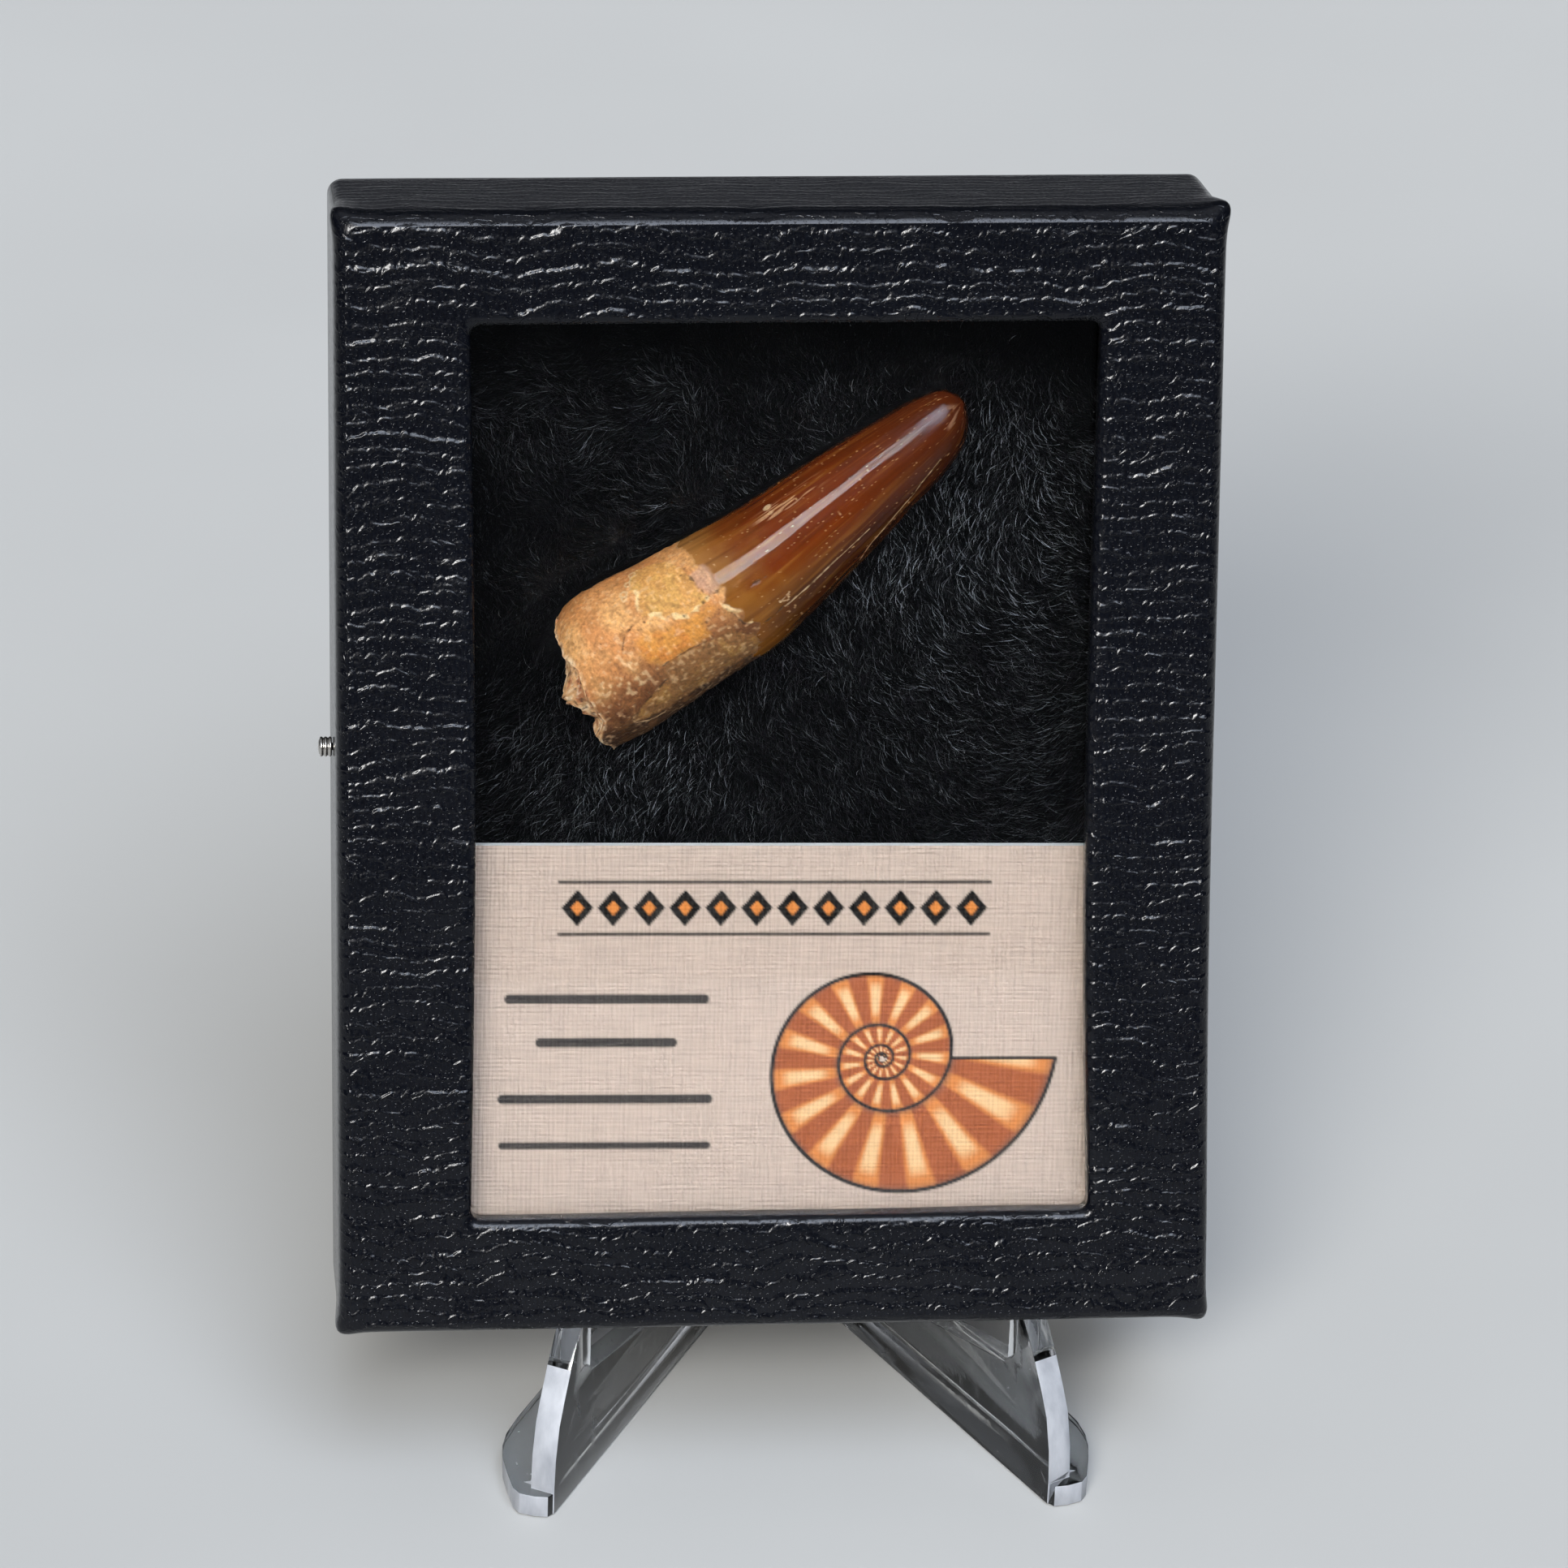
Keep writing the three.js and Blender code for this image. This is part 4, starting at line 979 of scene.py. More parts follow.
def paint_broken(along, angle):
    """The broken end: cream and pinkish crumbs with red-brown pockets."""
    g = angle * GIRTH
    mid, small = rough_noise(95, 3, along * 1.5, g * 1.5), value_noise(96, along * 3.5, g * 3.5)
    c = base_colour("#d09c6a", along.shape)
    paint(c, "#efd2ac", ease(0.0, 0.7, mid) * 0.8)
    paint(c, "#a85c38", ease(0.2, 0.8, -mid) * 0.75)
    paint(c, "#4a2412", ease(0.35, 0.8, -small) * 0.8)
    paint(c, "#f7e3c4", ease(0.5, 0.9, small) * 0.6)
    return c


def tooth_colours(along, angle, m):
    """Root and enamel, and then what lies on both."""
    c = paint_root(along, angle, m)
    c += (paint_enamel(along, angle) - c) * m["enamel"][..., None]
    paint(c, "#bb917a", m["lilac"] * 0.65)
    paint(c, "#ecca94", m["chip"] * 0.85)
    paint(c, "#dcb88a", m["pale"] * 0.75)
    paint(c, "#cc9a6c", m["scrape"] * 0.7)
    paint(c, "#3a2412", m["crack"] * 0.7)
    return c


print("enamel near its tip:", np.round(paint_enamel(np.array([40.0]), np.array([60.0]))[0], 3))

# %% [markdown]
# ## The tooth's surface
# The surface is one grid: rings along the tooth, each with more points on the side that shows. From the
# broken rim the rings go on inward over the crumbled face and down into the hollow root, so the mesh is one
# closed skin, as a casting of the tooth would be.

# %% Tooth surface
ALONG_STEPS, AROUND_FRONT, AROUND_BACK = 300, 224, 40
FACE_RINGS = np.linspace(0.985, 0.66, 15)          # the broken face, from the rim inward
HOLLOW_RINGS = [(0.64, 0.3), (0.60, 1.2), (0.53, 2.6), (0.44, 4.2), (0.30, 5.6), (0.13, 6.2)]

turns = np.concatenate([np.linspace(-12, 192, AROUND_FRONT, endpoint=False),
                        np.linspace(192, 348, AROUND_BACK, endpoint=False)])
u = np.linspace(0, 1, ALONG_STEPS)
spread = LAST_RING * np.where(u < 0.9, u, 0.9 + 0.1 * np.sin((u - 0.9) / 0.1 * pi / 2))
base, angle = np.meshgrid(spread, turns, indexing="ij")
along = base + broken_rim(angle) * ease(9, 0, base)
masks = tooth_masks(along, angle)
surface = tooth_points(along, angle, relief=tooth_relief(along, angle, masks))
colours = tooth_colours(along, angle, masks)
near_rim = ease(0.35, 0.0, along - broken_rim(angle) + 0.25 * value_noise(97, along * 2, angle * GIRTH * 2))
colours += (paint_broken(along, angle) - colours) * near_rim[..., None] * 0.8
print("surface", surface.shape)

# %% Broken end
reach = drawn_at(turns, CRUMB_REACH)
rings, ring_colours = [], []
for scale in FACE_RINGS:
    inward = (1 - scale) / 0.34
    ring = broken_rim(turns) - reach * ease(0, 1, inward) ** 0.8
    crumbs = rough_noise(61, 3, turns * GIRTH * 1.2, np.full_like(turns, inward * 3))
    ring = ring + 0.22 * crumbs * min(inward * 4, 1)
    rings.append(tooth_points(ring, turns, scale + 0.02 * crumbs))
    ring_colours.append(paint_broken(np.full_like(turns, inward * 3), turns))
for scale, push in HOLLOW_RINGS:
    ring = broken_rim(turns) - reach * ease(0.5, 0, push) + push
    rings.append(tooth_points(ring, turns, scale))
    # inside the hollow root the colour is painted darker the deeper it goes: painted shade
    dark = base_colour("#5a3016", turns.shape)
    paint(dark, "#1c0d06", np.full(len(turns), min(push / 2.6, 1)))
    ring_colours.append(dark)
inner, inner_colours = np.array(rings[::-1]), np.array(ring_colours[::-1])
print("rings of the broken end", len(inner))

# %% Closed skin
points = np.concatenate([inner, surface])
columns = points.shape[1]
deepest, tip_point = inner[0].mean(0), tooth_points(np.array(TIP_AT), np.array(0.0), 0.0)
cloud = np.concatenate([points.reshape(-1, 3), [deepest, tip_point]])
deepest_i, tip_i, last = len(cloud) - 2, len(cloud) - 1, (points.shape[0] - 1) * columns
quads = grid_quads(*points.shape[:2], wrap_columns=True).tolist()
quads += [(deepest_i, (j + 1) % columns, j) for j in range(columns)]
quads += [(tip_i, last + j, last + (j + 1) % columns) for j in range(columns)]

bared = np.maximum.reduce([masks[k] for k in ("chip", "crack", "pale", "scrape")])
matt = 1 - masks["enamel"] * (1 - bared)
all_matt = np.concatenate([np.ones(inner.shape[:2]), matt]).ravel()
all_colours = np.concatenate([inner_colours, colours]).reshape(-1, 3)
# the deepest point of the hollow gets the darkest painted shade, and the tip the last ring's colour
all_colours = np.concatenate([all_colours, [srgb("#1c0d06")[:3], all_colours[last]]])
girth_mm = np.stack([along, 6 * np.cos(np.radians(angle)), 6 * np.sin(np.radians(angle))], -1)
tooth_mm = np.concatenate([inner, girth_mm]).reshape(-1, 3)
tooth_mm = np.concatenate([tooth_mm, [(0, 0, 0), (46, 0, 0)]])
print("tooth points", len(cloud))

# %% [markdown]
# ## Enamel and dentine
# Fossil enamel is dense and takes a polish, so it has low roughness and draws one long streak of light.
# Dentine is porous and matt, and its grain breaks the light up. Both could be one procedural pattern, but the
# flakes and cracks have to sit where the relief has them, so the paint above is a colour for each point. The
# material adds what is finer than the mesh: grains from 0.3 mm down in the dentine, and lengthwise ridges
# 0.25 mm apart in the enamel. One attribute says which of the two a point is.

# %% Tooth material
# polished enamel is deep and glossy, and worn dentine dry and grainy
fossil, tree, shader = new_material("fossil_enamel_and_dentine_polished", IOR=1.52,
                                    Specular_IOR_Level=0.24)
painted = node(tree, "ShaderNodeAttribute", attribute_name="paint").outputs["Color"]
matt_here = node(tree, "ShaderNodeAttribute", attribute_name="matt").outputs["Fac"]
place = node(tree, "ShaderNodeAttribute", attribute_name="tooth_mm").outputs["Vector"]
GRAIN, RIDGE_APART, RIDGE_LONG, DENTINE_ROUGH = 0.30, 0.25, 4.0, 0.62
grain = node(tree, "ShaderNodeTexNoise", {"Vector": place, "Scale": 1 / GRAIN, "Detail": 3.0,
             "Roughness": 0.6})
stretched = node(tree, "ShaderNodeVectorMath", {0: place, 1: (1 / RIDGE_LONG, 1 / RIDGE_APART,
                 1 / RIDGE_APART)}, operation="MULTIPLY")
ridge = node(tree, "ShaderNodeTexNoise", {"Vector": stretched, "Scale": 1.0, "Detail": 2.0})

# grains lighten and darken the dentine, and fade out under the enamel
light = node(tree, "ShaderNodeMapRange", {"Value": grain, "From Min": 0.30, "From Max": 0.70, "To Min": 0.74,
             "To Max": 1.26})
light = node(tree, "ShaderNodeMix", {"Factor": matt_here, "A": 1.0, "B": light})
grey = node(tree, "ShaderNodeCombineColor", {0: light, 1: light, 2: light})
body = node(tree, "ShaderNodeMix", {"Factor": 1.0, "A": painted, "B": grey}, data_type="RGBA",
            blend_type="MULTIPLY")
polish = node(tree, "ShaderNodeMapRange", {"Value": ridge, "From Min": 0.3, "From Max": 0.7, "To Min": 0.12,
              "To Max": 0.19})
rough = node(tree, "ShaderNodeMix", {"Factor": matt_here, "A": polish, "B": DENTINE_ROUGH})
smooth = node(tree, "ShaderNodeMath", {0: 1.0, 1: matt_here}, operation="SUBTRACT")
ridged = node(tree, "ShaderNodeBump", {"Height": ridge, "Distance": 0.012 * MM, "Strength": smooth})
rub = node(tree, "ShaderNodeMapRange", {"Value": matt_here, "To Min": 0.07, "To Max": 1.0})
grained = node(tree, "ShaderNodeBump", {"Height": grain, "Distance": 0.13 * MM, "Strength": rub,
               "Normal": ridged})
dress(tree, shader, Base_Color=body, Roughness=rough, Normal=grained)

tooth = add_mesh("tooth_fossil", from_case(cloud), quads, [fossil], matt=np.append(all_matt, [1, 0]),
                 tooth_mm=tooth_mm)


def colour_attribute(obj, name, values):
    """A colour for each point."""
    layer = obj.data.color_attributes.new(name, "FLOAT_COLOR", "POINT")
    layer.data.foreach_set("color", np.column_stack([values, np.ones(len(values))]).ravel())


colour_attribute(tooth, "paint", all_colours)
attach(tooth, "root")
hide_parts("fossil_tooth")
print("tooth faces", len(tooth.data.polygons))

# %% [markdown]
# ## Label card
# A millimetre of white-cored card with a linen-embossed, cream printed face. The print is generic: a frieze
# of lozenges, four rules to write on and a coiled ammonite, each drawn here by formula. A print could also be
# an image or a tree of nodes. Formulas at the mesh's own points keep it sharp, need no file and export as
# plain colours, so the mesh is a fine grid over the part that shows. The emboss is in the material: a weave
# of two waves at 0.42 mm, a little coarser than the real thread so that it shows.

# %% Printed face
CARD_W, CARD_H, CARD_T, CARD_FRONT, CARD_TILT = 75.2, 42.6, 1.0, 5.2, radians(0.8)
CARD_MID_Z = 46.55 - CARD_H / 2
INK_SOFT = 0.09
INKS = {"outline": "#0d0908", "rust": "#98451c", "orange": "#d5803a", "cream": "#efc792", "dusk": "#6b4a3c"}


def stroke(distance, width):
    """Ink share of a line of a width, in card millimetres, with slightly soft edges."""
    return ease(width / 2 + INK_SOFT, width / 2 - INK_SOFT, distance)


def segment(x, z, x0, z0, x1, z1):
    """Distance to a straight line between two points."""
    ex, ez = x1 - x0, z1 - z0
    t = np.clip(((x - x0) * ex + (z - z0) * ez) / (ex * ex + ez * ez), 0, 1)
    return np.hypot(x - x0 - t * ex, z - z0 - t * ez)


def exp_step(growth):
    """How much smaller a spiral is one whorl further in."""
    return float(np.exp(-growth * tau))


def print_ammonite(ink, x, z, cx, cz, size, turns=3.1, growth=0.148):
    """A ribbed spiral shell: each point finds which whorl it is in and how far across it."""
    dx, dz = x - cx, z - cz
    radius, turn = np.hypot(dx, dz) + 1e-6, np.mod(np.arctan2(dz, dx), tau)
    outer = size * np.exp(growth * (turn - tau))
    whorl = np.floor(np.log(outer / radius) / (growth * tau) + 1e-9)
    outside = outer * np.exp(-growth * tau * np.maximum(whorl, 0))
    across = np.clip((outside - radius) / (outside * (1 - exp_step(growth))), 0, 1)
    swept = turn - tau * whorl
    shown = ease(0.0, 0.12, outside - radius + 0.1) * (whorl >= 0) * (whorl < turns)
    rib = 0.5 + 0.5 * np.cos(swept * 15 - 1.6 * across ** 2)
    round_light = np.sin(pi * across) ** 0.6
    for name, share in (("orange", shown), ("rust", shown * ease(0.72, 0.35, rib) * 0.85),
                        ("cream", shown * ease(0.60, 0.95, rib) * ease(0.55, 0.95, round_light) * 0.85),
                        ("dusk", shown * ease(0.55, 0.05, round_light) * 0.8)):
        paint(ink, INKS[name], share)
    seam = np.minimum(across, 1 - across) * outside * (1 - exp_step(growth))
    paint(ink, INKS["outline"], shown * stroke(seam, 0.30))
    paint(ink, INKS["outline"], stroke(np.abs(radius - outer), 0.36) * (radius < size * 1.05))
    paint(ink, INKS["outline"], stroke(segment(x, z, cx + size * exp_step(growth), cz, cx + size, cz), 0.3))


# all in mm of the case's face: half the frieze, its height, and its lozenges
FRIEZE_END, FRIEZE_Z, LOZENGE_PITCH, LOZENGE_W, LOZENGE_H = 20.4, 40.45, 3.4, 1.5, 1.8
# height, left and right end, and width of each rule; the first two frame the frieze
RULES = ((43.0, -FRIEZE_END, FRIEZE_END, 0.32), (37.9, -FRIEZE_END, FRIEZE_END, 0.32),
         (31.5, -25.0, -6.5, 0.95), (27.2, -22.0, -9.5, 0.95),
         (21.6, -25.5, -6.0, 0.95), (17.0, -25.5, -6.0, 0.70))
AMMONITE = (10.6, 25.6, 16.6)      # middle and radius


def print_face(x, z):
    """The printed colours of the card's face: a frieze, four rules to write on and a shell."""
    ink = base_colour("#c9b2a1", x.shape)
    for height, left, right, width in RULES:
        paint(ink, INKS["outline"], stroke(segment(x, z, left, height, right, height), width) * 0.95)
    beside = np.abs(np.mod(x + FRIEZE_END, LOZENGE_PITCH) - LOZENGE_PITCH / 2)
    lozenge = beside / LOZENGE_W + np.abs(z - FRIEZE_Z) / LOZENGE_H
    paint(ink, INKS["outline"], ease(1.06, 0.95, lozenge) * (np.abs(x) < FRIEZE_END))
    paint(ink, INKS["orange"], ease(0.48, 0.36, lozenge) * (np.abs(x) < FRIEZE_END))
    print_ammonite(ink, x, z, *AMMONITE)
    return ink


FINE = 0.17              # mm between points where the card shows; coarser behind the lid's rails
xs = [np.linspace(-CARD_W / 2, -30, 9), np.arange(-30, 31, FINE), np.linspace(31, CARD_W / 2, 9)]
zs = [np.linspace(-CARD_H / 2, -14, 9), np.arange(-14, CARD_H / 2 - 0.05, FINE), [CARD_H / 2]]
xs, zs = (np.unique(np.round(np.concatenate(steps), 4)) for steps in (xs, zs))
gx, gz = np.meshgrid(xs, zs, indexing="ij")
face_ink = print_face(gx, gz + CARD_MID_Z)
print("card grid", gx.shape)


# %% Card shape
def card_to_case(x, depth, z):
    """Card-centred millimetres to case space, with the card's slight tilt."""
    return np.stack([x * cos(CARD_TILT) + z * sin(CARD_TILT), np.broadcast_to(depth, x.shape),
                     CARD_MID_Z - x * sin(CARD_TILT) + z * cos(CARD_TILT)], -1)


def grid_rim(rows, columns):
    """The border points of a grid, once round."""
    there = [r * columns for r in range(rows)] + [(rows - 1) * columns + c for c in range(1, columns)]
    back = [r * columns + columns - 1 for r in range(rows - 2, -1, -1)]
    return there + back + list(range(columns - 2, 0, -1))


def edge_and_back(rim, first):
    """Faces from a grid's rim to the same rim on the back, which starts at first, and on to its middle."""
    steps = [(i, (i + 1) % len(rim)) for i in range(len(rim))]
    edge = [(rim[i], rim[j], first + j, first + i) for i, j in steps]
    return edge + [(first + i, first + j, first + len(rim)) for i, j in steps]


front = card_to_case(gx, CARD_FRONT, gz).reshape(-1, 3)
rim = grid_rim(*gx.shape)
rim_x, rim_z = gx.ravel()[rim], gz.ravel()[rim]
back = card_to_case(np.append(rim_x, 0.0), CARD_FRONT + CARD_T, np.append(rim_z, 0.0))
card_points = np.concatenate([front, back])
face_quads = grid_quads(*gx.shape)[:, ::-1].tolist()
print("card points", len(card_points))

# %% [markdown]
# ## Card finish
# The card's paper was rolled between linen cloths, which left the cloth's weave in it. Two sine waves are the
# threads both ways, and two stretched noises are the slubs that make some threads thicker. The weave shades
# the print, wears it a little on the high threads, and changes the bump and the roughness with it. The cut
# edges and the back show the plain white core.

# %% Card materials
# embossed card: matt, with a woven shadow and worn print
linen, tree, shader = new_material("linen_embossed_cream_card_printed", IOR=1.45,
                                   Specular_IOR_Level=0.14)
ink = node(tree, "ShaderNodeAttribute", attribute_name="ink").outputs["Color"]
card_mm = node(tree, "ShaderNodeUVMap", uv_map="card_mm")
THREAD, THREAD_SHARE = 0.42, 0.55                # mm from thread to thread, and how much they show
SLUB_ALONG, SLUB_ACROSS, SLUB_SHARE = 0.22, 3.4, 4.0   # slubs per mm along and across a thread
parts = node(tree, "ShaderNodeSeparateXYZ", {0: card_mm})
threads, slubs = [], []
for axis, stretch in (("X", (SLUB_ALONG, SLUB_ACROSS, 0)), ("Y", (SLUB_ACROSS, SLUB_ALONG, 0))):
    wave = node(tree, "ShaderNodeMath", {0: parts.outputs[axis], 1: tau / THREAD}, operation="MULTIPLY")
    threads.append(node(tree, "ShaderNodeMath", {0: wave}, operation="SINE"))
    drawn = node(tree, "ShaderNodeVectorMath", {0: card_mm, 1: stretch}, operation="MULTIPLY")
    slubs.append(node(tree, "ShaderNodeTexNoise", {"Vector": drawn, "Scale": 1.0, "Detail": 3.0},
                      noise_dimensions="2D"))
cloth = node(tree, "ShaderNodeMath", {0: threads[0], 1: threads[1]}, operation="ADD")
cloth = node(tree, "ShaderNodeMath", {0: cloth, 1: THREAD_SHARE}, operation="MULTIPLY")
for slub in slubs:
    cloth = node(tree, "ShaderNodeMath", {0: slub, 1: SLUB_SHARE, 2: cloth}, operation="MULTIPLY_ADD")
# the print is a little worn on the high threads, and the low ones are in shadow
worn_ink = node(tree, "ShaderNodeMapRange", {"Value": cloth, "From Min": 2.4, "From Max": 5.6,
                "To Min": 0.0, "To Max": 0.025})
shade = node(tree, "ShaderNodeMix", {"Factor": worn_ink, "A": ink, "B": srgb("#f1e6da")}, data_type="RGBA")
shadow = node(tree, "ShaderNodeMapRange", {"Value": cloth, "From Min": 2.2, "From Max": 5.8, "To Min": 0.88,
              "To Max": 1.09})
woven = node(tree, "ShaderNodeVectorMath", {0: shade, "Scale": shadow}, operation="SCALE")
emboss = node(tree, "ShaderNodeBump", {"Height": cloth, "Distance": 0.03 * MM, "Strength": 0.8})
sheen = node(tree, "ShaderNodeMapRange", {"Value": cloth, "From Min": 2.0, "From Max": 6.0,
             "To Min": 0.62, "To Max": 0.78})
dress(tree, shader, Base_Color=woven, Roughness=sheen, Normal=emboss)

# guillotined card: white and a little fluffy where it was cut
core, tree, shader = new_material("white_card_core_guillotined", Roughness=0.8)
fluff = node(tree, "ShaderNodeTexNoise", {"Vector": node(tree, "ShaderNodeTexCoord").outputs["Object"],
             "Scale": 1 / (0.4 * MM), "Detail": 2.0})
pulp = node(tree, "ShaderNodeMix", {"Factor": fluff, "A": srgb("#e9e6e0"), "B": srgb("#fbfaf7")},
            data_type="RGBA")
dress(tree, shader, Base_Color=pulp)
print("linen nodes:", len(linen.node_tree.nodes))

# %% Card
card = add_mesh("label_card_printed", from_case(card_points), face_quads + edge_and_back(rim, len(front)),
                [linen, core], smooth=False)
bare_back = base_colour("#efece6", back.shape[:1])
colour_attribute(card, "ink", np.concatenate([face_ink.reshape(-1, 3), bare_back]))
uv = np.concatenate([np.stack([gx.ravel(), gz.ravel()], -1), np.stack([rim_x, rim_z], -1), [(0, 0)]])
set_uv(card, "card_mm", uv)
for face in list(card.data.polygons)[len(face_quads):]:
    face.material_index = 1
face_outward(card)
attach(card, "root")
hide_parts("label_card")
print("card faces", len(card.data.polygons))

# %% [markdown]
# ## Pile pad
# The tooth lies on a pad of black long-pile fabric over foam. The foam is a soft block that dips under the
# tooth and behind the card, and the pile is some 110,000 bent fibres combed in drifts: upright in the lower
# half, fanning to the left on the right side, ruffled at the left. Hair curves would also do, but the pile
# has to be a mesh to be exported. Real fibres are 0.02 mm thick, and these ribbons are 0.06 mm, as thin as
# still shows. Geometry Nodes scatters one tapered ribbon over the pad's face. Which way it lies, where none
# grow and how much painted sheen and painted shadow it gets come from attributes of that face.

# %% Pad block
PAD_X, PAD_Z, PAD_BACK, PILE = 37.6, (3.7, 104.3), 17.1, 1.7    # half width, low and high end, depth, pile
PILE_TOP, CARD_STEP, SHALLOWEST = 8, 0.9, 6.8                   # depths of the pile's outer surface
TOOTH_SPAN = (-1.6, 45.2)                                       # the length of the tooth that rests on it


def pad_depth(x, z):
    """Depth of the pile's outer surface, and how far each point is from the tooth.

    It has gentle swells, a hollow round the tooth and a step behind the card."""
    swell = 0.35 * np.sin(0.13 * x + 1.1) * np.sin(0.11 * z) + 0.2 * np.sin(0.31 * x + 0.17 * z)
    behind_card = ease(58, 47, z)
    depth = PILE_TOP + swell * (1 - behind_card) + 0.4 * ease(70, 100, z) - CARD_STEP * behind_card
    depth = np.maximum(depth, SHALLOWEST)
    a = (x - TOOTH_X) * cos(TOOTH_ANGLE) + (z - TOOTH_Z) * sin(TOOTH_ANGLE)
    n = -(x - TOOTH_X) * sin(TOOTH_ANGLE) + (z - TOOTH_Z) * cos(TOOTH_ANGLE)
    at = np.clip(a, 0, TOOTH_SPAN[1])
    middle, half = section(at)
    tooth_mid = TOOTH_Y - TIP_RISE * ease(*RISE_AT, at)
    end = np.maximum(np.maximum(TOOTH_SPAN[0] - a, a - TOOTH_SPAN[1]), 0)
    away = np.hypot(end, np.maximum(np.abs(n - middle) - half, 0))
    q = np.clip(np.abs(n - middle) / half, 0, 1)
    under = tooth_mid + half * THICKNESS * np.sqrt(1 - q * q) * 0.98 + 0.75
    beside = blend_to(tooth_mid + 1.1, depth, ease(0.6, 4.6, away))
    return np.where(away <= 0, under, beside), away


px, pz = np.meshgrid(np.linspace(-PAD_X, PAD_X, 100), np.linspace(*PAD_Z, 132), indexing="ij")
top, away = pad_depth(px, pz)
face_points = np.stack([px, np.minimum(top + PILE * 0.8, PAD_BACK - 0.6), pz], -1)
rim = grid_rim(*px.shape)
front = face_points.reshape(-1, 3)
back = front[rim] * (1, 0, 1) + (0, PAD_BACK, 0)
block_points = np.concatenate([front, back, [(0, PAD_BACK, sum(PAD_Z) / 2)]])
block_faces = grid_quads(*px.shape).tolist() + edge_and_back(rim, len(front))

# dyed knit: dull black between the fibres
knit, tree, shader = new_material("black_knit_backing_dyed", Roughness=0.9)
loops = node(tree, "ShaderNodeTexNoise", {"Vector": node(tree, "ShaderNodeTexCoord").outputs["Object"],
             "Scale": 1 / (0.4 * MM), "Detail": 2.0})
dye = node(tree, "ShaderNodeMix", {"Factor": loops, "A": srgb("#020203"), "B": srgb("#08080a")},
           data_type="RGBA")
bumps = node(tree, "ShaderNodeBump", {"Height": loops, "Distance": 0.2 * MM})
dress(tree, shader, Base_Color=dye, Normal=bumps)
block = add_mesh("pile_backing", from_case(block_points), block_faces, [knit])
face_outward(block)
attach(block, "root")
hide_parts("fur_pad")
print("backing faces", len(block.data.polygons))

# %% [markdown]
# ## Pile fibres
# Polyester pile is dyed through, and each fibre is smooth, so it is nearly black with a satin glint where it
# turns to the light. A few fibres are painted light grey as glints, more in patches of painted sheen and
# fewer in a painted shadow under the top rail, and here and there is a speck of lint. Each fibre gets a
# random number for that. Its root stays at the bed, and the comb, which is a direction at each point of the
# bed, says where it leans.

# %% Fibre material
# dyed polyester: nearly black and satin, with a few fibres painted light grey as glints; one fibre in a
# thousand is a pale bit of lint
PAINTED_GLINT_POWER, LINT_ABOVE = 16.0, (0.9990, 0.9993)    # the larger the power, the fewer fibres glint
fibre, tree, shader = new_material("polyester_pile_black", IOR=1.5, Specular_IOR_Level=0.12)
tint = node(tree, "ShaderNodeAttribute", attribute_name="strand_tint").outputs["Fac"]
lustre = node(tree, "ShaderNodeAttribute", attribute_name="lustre").outputs["Fac"]
# painted glints: fibres picked by chance, more where the painted sheen is high, are mixed towards light grey
few = node(tree, "ShaderNodeMath", {0: tint, 1: PAINTED_GLINT_POWER}, operation="POWER")
few = node(tree, "ShaderNodeMath", {0: few, 1: lustre}, operation="MULTIPLY")
dark = node(tree, "ShaderNodeMix", {"Factor": few, "A": srgb("#030304"), "B": srgb("#b4b8be")},
            data_type="RGBA")
lint = node(tree, "ShaderNodeMapRange", {"Value": tint, "From Min": LINT_ABOVE[0],
            "From Max": LINT_ABOVE[1]})
shade = node(tree, "ShaderNodeMix", {"Factor": lint, "A": dark, "B": srgb("#a4a6a8")},
             data_type="RGBA")
satin = node(tree, "ShaderNodeMapRange", {"Value": tint, "To Min": 0.42, "To Max": 0.30})
dress(tree, shader, Base_Color=shade, Roughness=satin)
print("fibre nodes:", len(fibre.node_tree.nodes))

# %% One fibre, and the face it grows on
FIBRE_LONG, FIBRE_WIDE, FIBRE_BEND = 2.3, 0.06, 0.22
BED_STEP, BED_X = 0.45, 33.2         # mm between the bed's points, and its half width
strand = bpy.data.meshes.new("fibre_ribbon")
ribbon = []
for share, width, wave in ((0.0, 1.0, 0.0), (0.36, 0.95, 0.04), (0.70, 0.7, 0.0), (1.0, 0.16, -0.06)):
    bend = FIBRE_BEND * share ** 2 * FIBRE_LONG
    for side in (-0.5, 0.5):
        sideways = side * width * FIBRE_WIDE + wave * FIBRE_LONG
        ribbon.append((share * FIBRE_LONG * MM, sideways * MM, bend * MM))
strand.from_pydata(ribbon, [], [(0, 2, 3, 1), (2, 4, 5, 3), (4, 6, 7, 5)])
strand.shade_smooth()
strand.materials.append(fibre)
strand_source = bpy.data.objects.new("fibre_ribbon", strand)


def comb_direction(x, z):
    """Which way the fibres lie, as degrees from +x in the case's face: 90 is straight up."""
    way = 92 + 12 * np.sin(x * 0.21 + 1.0) + 10 * value_noise(71, x / 9, z / 9)
    right = ease(-4, 22, x) * (10 + 60 * ease(80, 56, z)) + 25 * ease(18, 30, x)
    way = way + right + 8 * value_noise(72, x / 5, z / 5)
    lower_left = ease(-14, -24, x) * ease(66, 56, z)
    way = blend_to(way, 62 - 26 * ease(-24, -32, x), lower_left)
    upper_left = ease(10, -14, x) * ease(66, 76, z)
    way = blend_to(way, 158 + 75 * value_noise(73, x / 3.4, z / 3.4), upper_left)
    return way + 26 * value_noise(74, x / 2.1, z / 2.1) + 14 * value_noise(75, x / 0.9, z / 0.9)


# patches of painted sheen, where more fibres are painted as glints
PAINTED_SHEEN_PATCHES = ((18, 75, 12, 14, 1.6), (-16, 51, 12, 7, 0.8))   # middle, half sizes and how much more


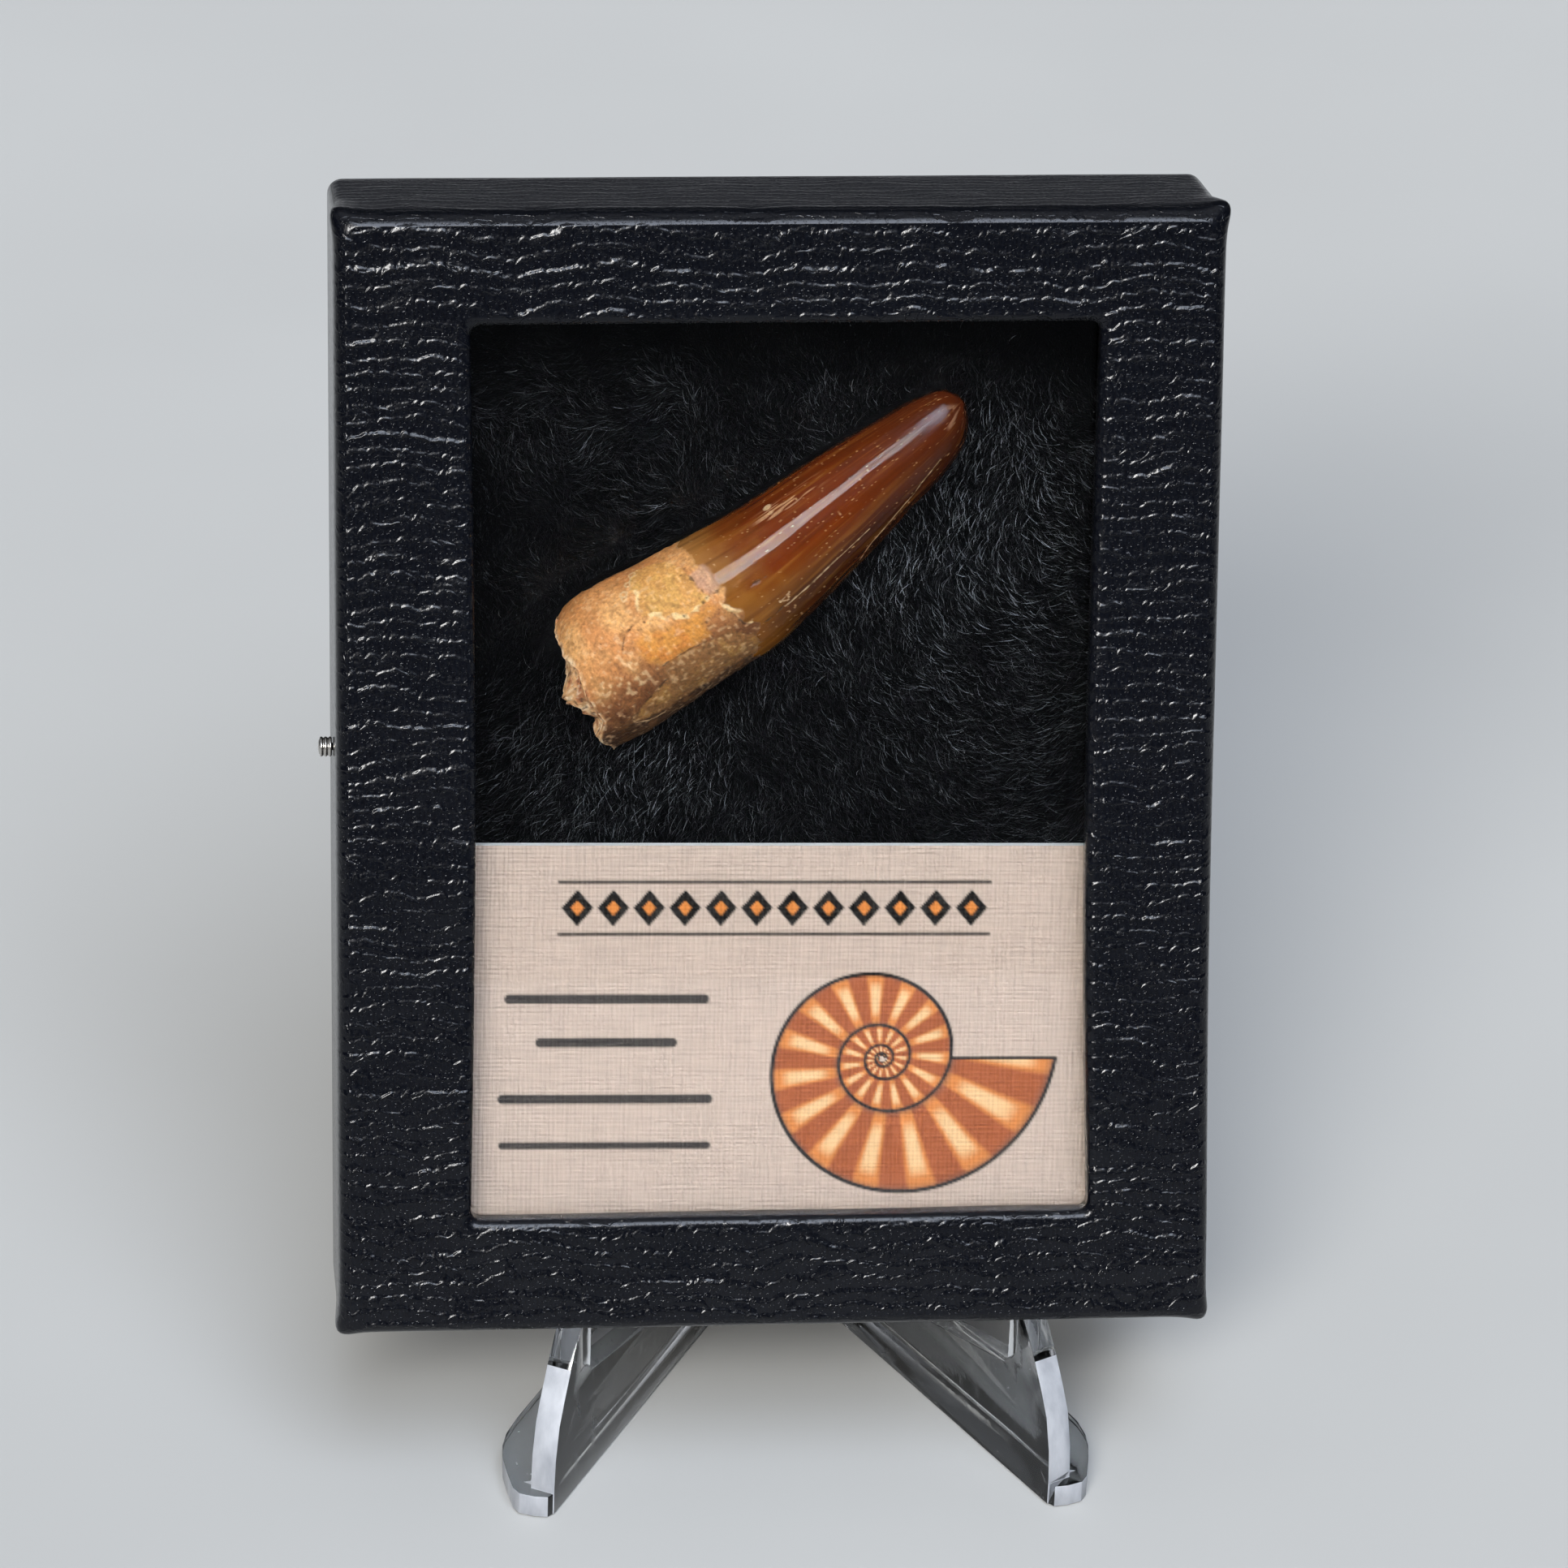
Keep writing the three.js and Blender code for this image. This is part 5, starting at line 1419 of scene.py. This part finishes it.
def fibre_bed(low, high):
    """A part of the pad's face that fibres grow from, with their comb, thickness and painted sheen."""
    bx, bz = np.meshgrid(np.arange(-BED_X, BED_X + 0.01, BED_STEP),
                         np.linspace(low, high, int((high - low) / BED_STEP) + 2), indexing="ij")
    depth, away = pad_depth(bx, bz)
    comb = np.radians(comb_direction(bx, bz))
    lift = 0.42 + 0.30 * value_noise(76, bx / 1.6, bz / 1.6)
    case_way = np.stack([np.cos(comb) * np.cos(lift), -np.sin(lift), np.sin(comb) * np.cos(lift)], -1)
    zero = from_case(np.zeros(3))
    way = from_case(case_way) - zero
    out = from_case(np.broadcast_to([0.0, -1.0, 0.0], case_way.shape)) - zero
    thick = np.where(away <= 0, 0.0, 1.0)
    # painted sheen: uneven at random and raised in the sheen patches; it sets how many fibres are painted as
    # glints
    lustre = 0.48 + 0.30 * value_noise(77, bx / 5, bz / 5)
    for x, z, wide, tall, share in PAINTED_SHEEN_PATCHES:
        lustre = lustre + share * np.exp(-((bx - x) / wide) ** 2 - ((bz - z) / tall) ** 2)
    # painted shadow of the top rail: fewer glints near the top
    lustre = lustre * ease(95.5, 88, bz + 0.12 * bx)
    bed = add_mesh(f"fibre_bed_{int(low)}", from_case(np.stack([bx, depth + PILE * 0.75, bz], -1)),
                   grid_quads(*bx.shape), [], comb=way.reshape(-1, 3), outward=out.reshape(-1, 3),
                   thick=thick.ravel(), lustre=lustre.ravel())
    return bed


def fibre_nodes():
    """Scatter, comb, turn and realize the fibres of one bed."""
    tree = bpy.data.node_groups.new("combed_pile", "GeometryNodeTree")
    for name, kind in (("Bed", "Geometry"), ("Density", "Float"), ("Seed", "Int"), ("Stray", "Vector"),
                       ("Roll", "Vector"), ("Shortest", "Float"), ("Longest", "Float")):
        tree.interface.new_socket(name, in_out="INPUT", socket_type="NodeSocket" + kind)
    tree.interface.new_socket("Pile", in_out="OUTPUT", socket_type="NodeSocketGeometry")
    given = node(tree, "NodeGroupInput")
    back_and_forth = [node(tree, "ShaderNodeVectorMath", {0: given.outputs[name], "Scale": -1.0},
                           operation="SCALE") for name in ("Stray", "Roll")]
    thick = node(tree, "GeometryNodeInputNamedAttribute", {"Name": "thick"}, data_type="FLOAT")
    dense = node(tree, "ShaderNodeMath", {0: thick, 1: given.outputs["Density"]}, operation="MULTIPLY")
    spots = node(tree, "GeometryNodeDistributePointsOnFaces", {"Mesh": given.outputs["Bed"],
                 "Density": dense, "Seed": given.outputs["Seed"]}, distribute_method="RANDOM")
    along = node(tree, "GeometryNodeInputNamedAttribute", {"Name": "comb"}, data_type="FLOAT_VECTOR")
    outward = node(tree, "GeometryNodeInputNamedAttribute", {"Name": "outward"}, data_type="FLOAT_VECTOR")
    stray = node(tree, "FunctionNodeRandomValue", {"Min": back_and_forth[0], "Max": given.outputs["Stray"],
                 "Seed": given.outputs["Seed"]}, data_type="FLOAT_VECTOR")
    way = node(tree, "ShaderNodeVectorMath", {0: along, 1: stray.outputs["Value"]}, operation="ADD")
    turn = node(tree, "FunctionNodeAxesToRotation", {"Primary Axis": way, "Secondary Axis": outward},
                primary_axis="X", secondary_axis="Z")
    roll = node(tree, "FunctionNodeRandomValue", {"Min": back_and_forth[1], "Max": given.outputs["Roll"],
                "Seed": 11}, data_type="FLOAT_VECTOR")
    rolled = node(tree, "FunctionNodeRotateRotation", {"Rotation": turn,
                  "Rotate By": roll.outputs["Value"]}, rotation_space="LOCAL")
    length = node(tree, "FunctionNodeRandomValue", {"Min": given.outputs["Shortest"],
                  "Max": given.outputs["Longest"], "Seed": 12}, data_type="FLOAT")
    source = node(tree, "GeometryNodeObjectInfo", {"Object": strand_source, "As Instance": True})
    grown = node(tree, "GeometryNodeInstanceOnPoints", {"Points": spots.outputs["Points"],
                 "Instance": source.outputs["Geometry"], "Rotation": rolled,
                 "Scale": length.outputs["Value"]})
    tint = node(tree, "FunctionNodeRandomValue", {"Seed": 13}, data_type="FLOAT")
    tinted = node(tree, "GeometryNodeStoreNamedAttribute", {"Geometry": grown, "Name": "strand_tint",
                  "Value": tint.outputs["Value"]}, data_type="FLOAT", domain="INSTANCE")
    real = node(tree, "GeometryNodeRealizeInstances", {"Geometry": tinted})
    dressed = node(tree, "GeometryNodeSetMaterial", {"Geometry": real, "Material": fibre})
    node(tree, "NodeGroupOutput", {"Pile": dressed})
    return tree


pile_tree = fibre_nodes()
print("one fibre:", len(strand.polygons), "faces; nodes in the pile's tree:", len(pile_tree.nodes))

# %% Grow the pile
BANDS = [(43.0, 54.0), (54.0, 64.5), (64.5, 75.5), (75.5, 87.0), (87.0, 97.6)]   # heights in mm
PER_MM2 = 34.0
# how far the comb strays and the ribbon rolls either way, and lengths as shares of FIBRE_LONG
GROWTH = {"Density": PER_MM2 / MM ** 2, "Stray": (0.42 * MM,) * 3, "Roll": (0.9, 0.0, 0.0), "Shortest": 0.50,
          "Longest": 1.10}
for number, (low, high) in enumerate(BANDS):
    bed = fibre_bed(low, high)
    grow = bed.modifiers.new("pile", "NODES")
    grow.node_group = pile_tree
    settings = {**GROWTH, "Seed": 100 + number}
    for item in pile_tree.interface.items_tree:
        if item.name in settings:
            grow[item.identifier] = settings[item.name]
    pile_mesh = finished_mesh(bed)
    bpy.data.objects.remove(bed)
    pile = bpy.data.objects.new(f"pile_fibres_{number + 1}", pile_mesh)
    bpy.context.scene.collection.objects.link(pile)
    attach(pile, "root")
    print(pile.name, len(pile_mesh.polygons), "faces,", len(pile_mesh.materials), "material")
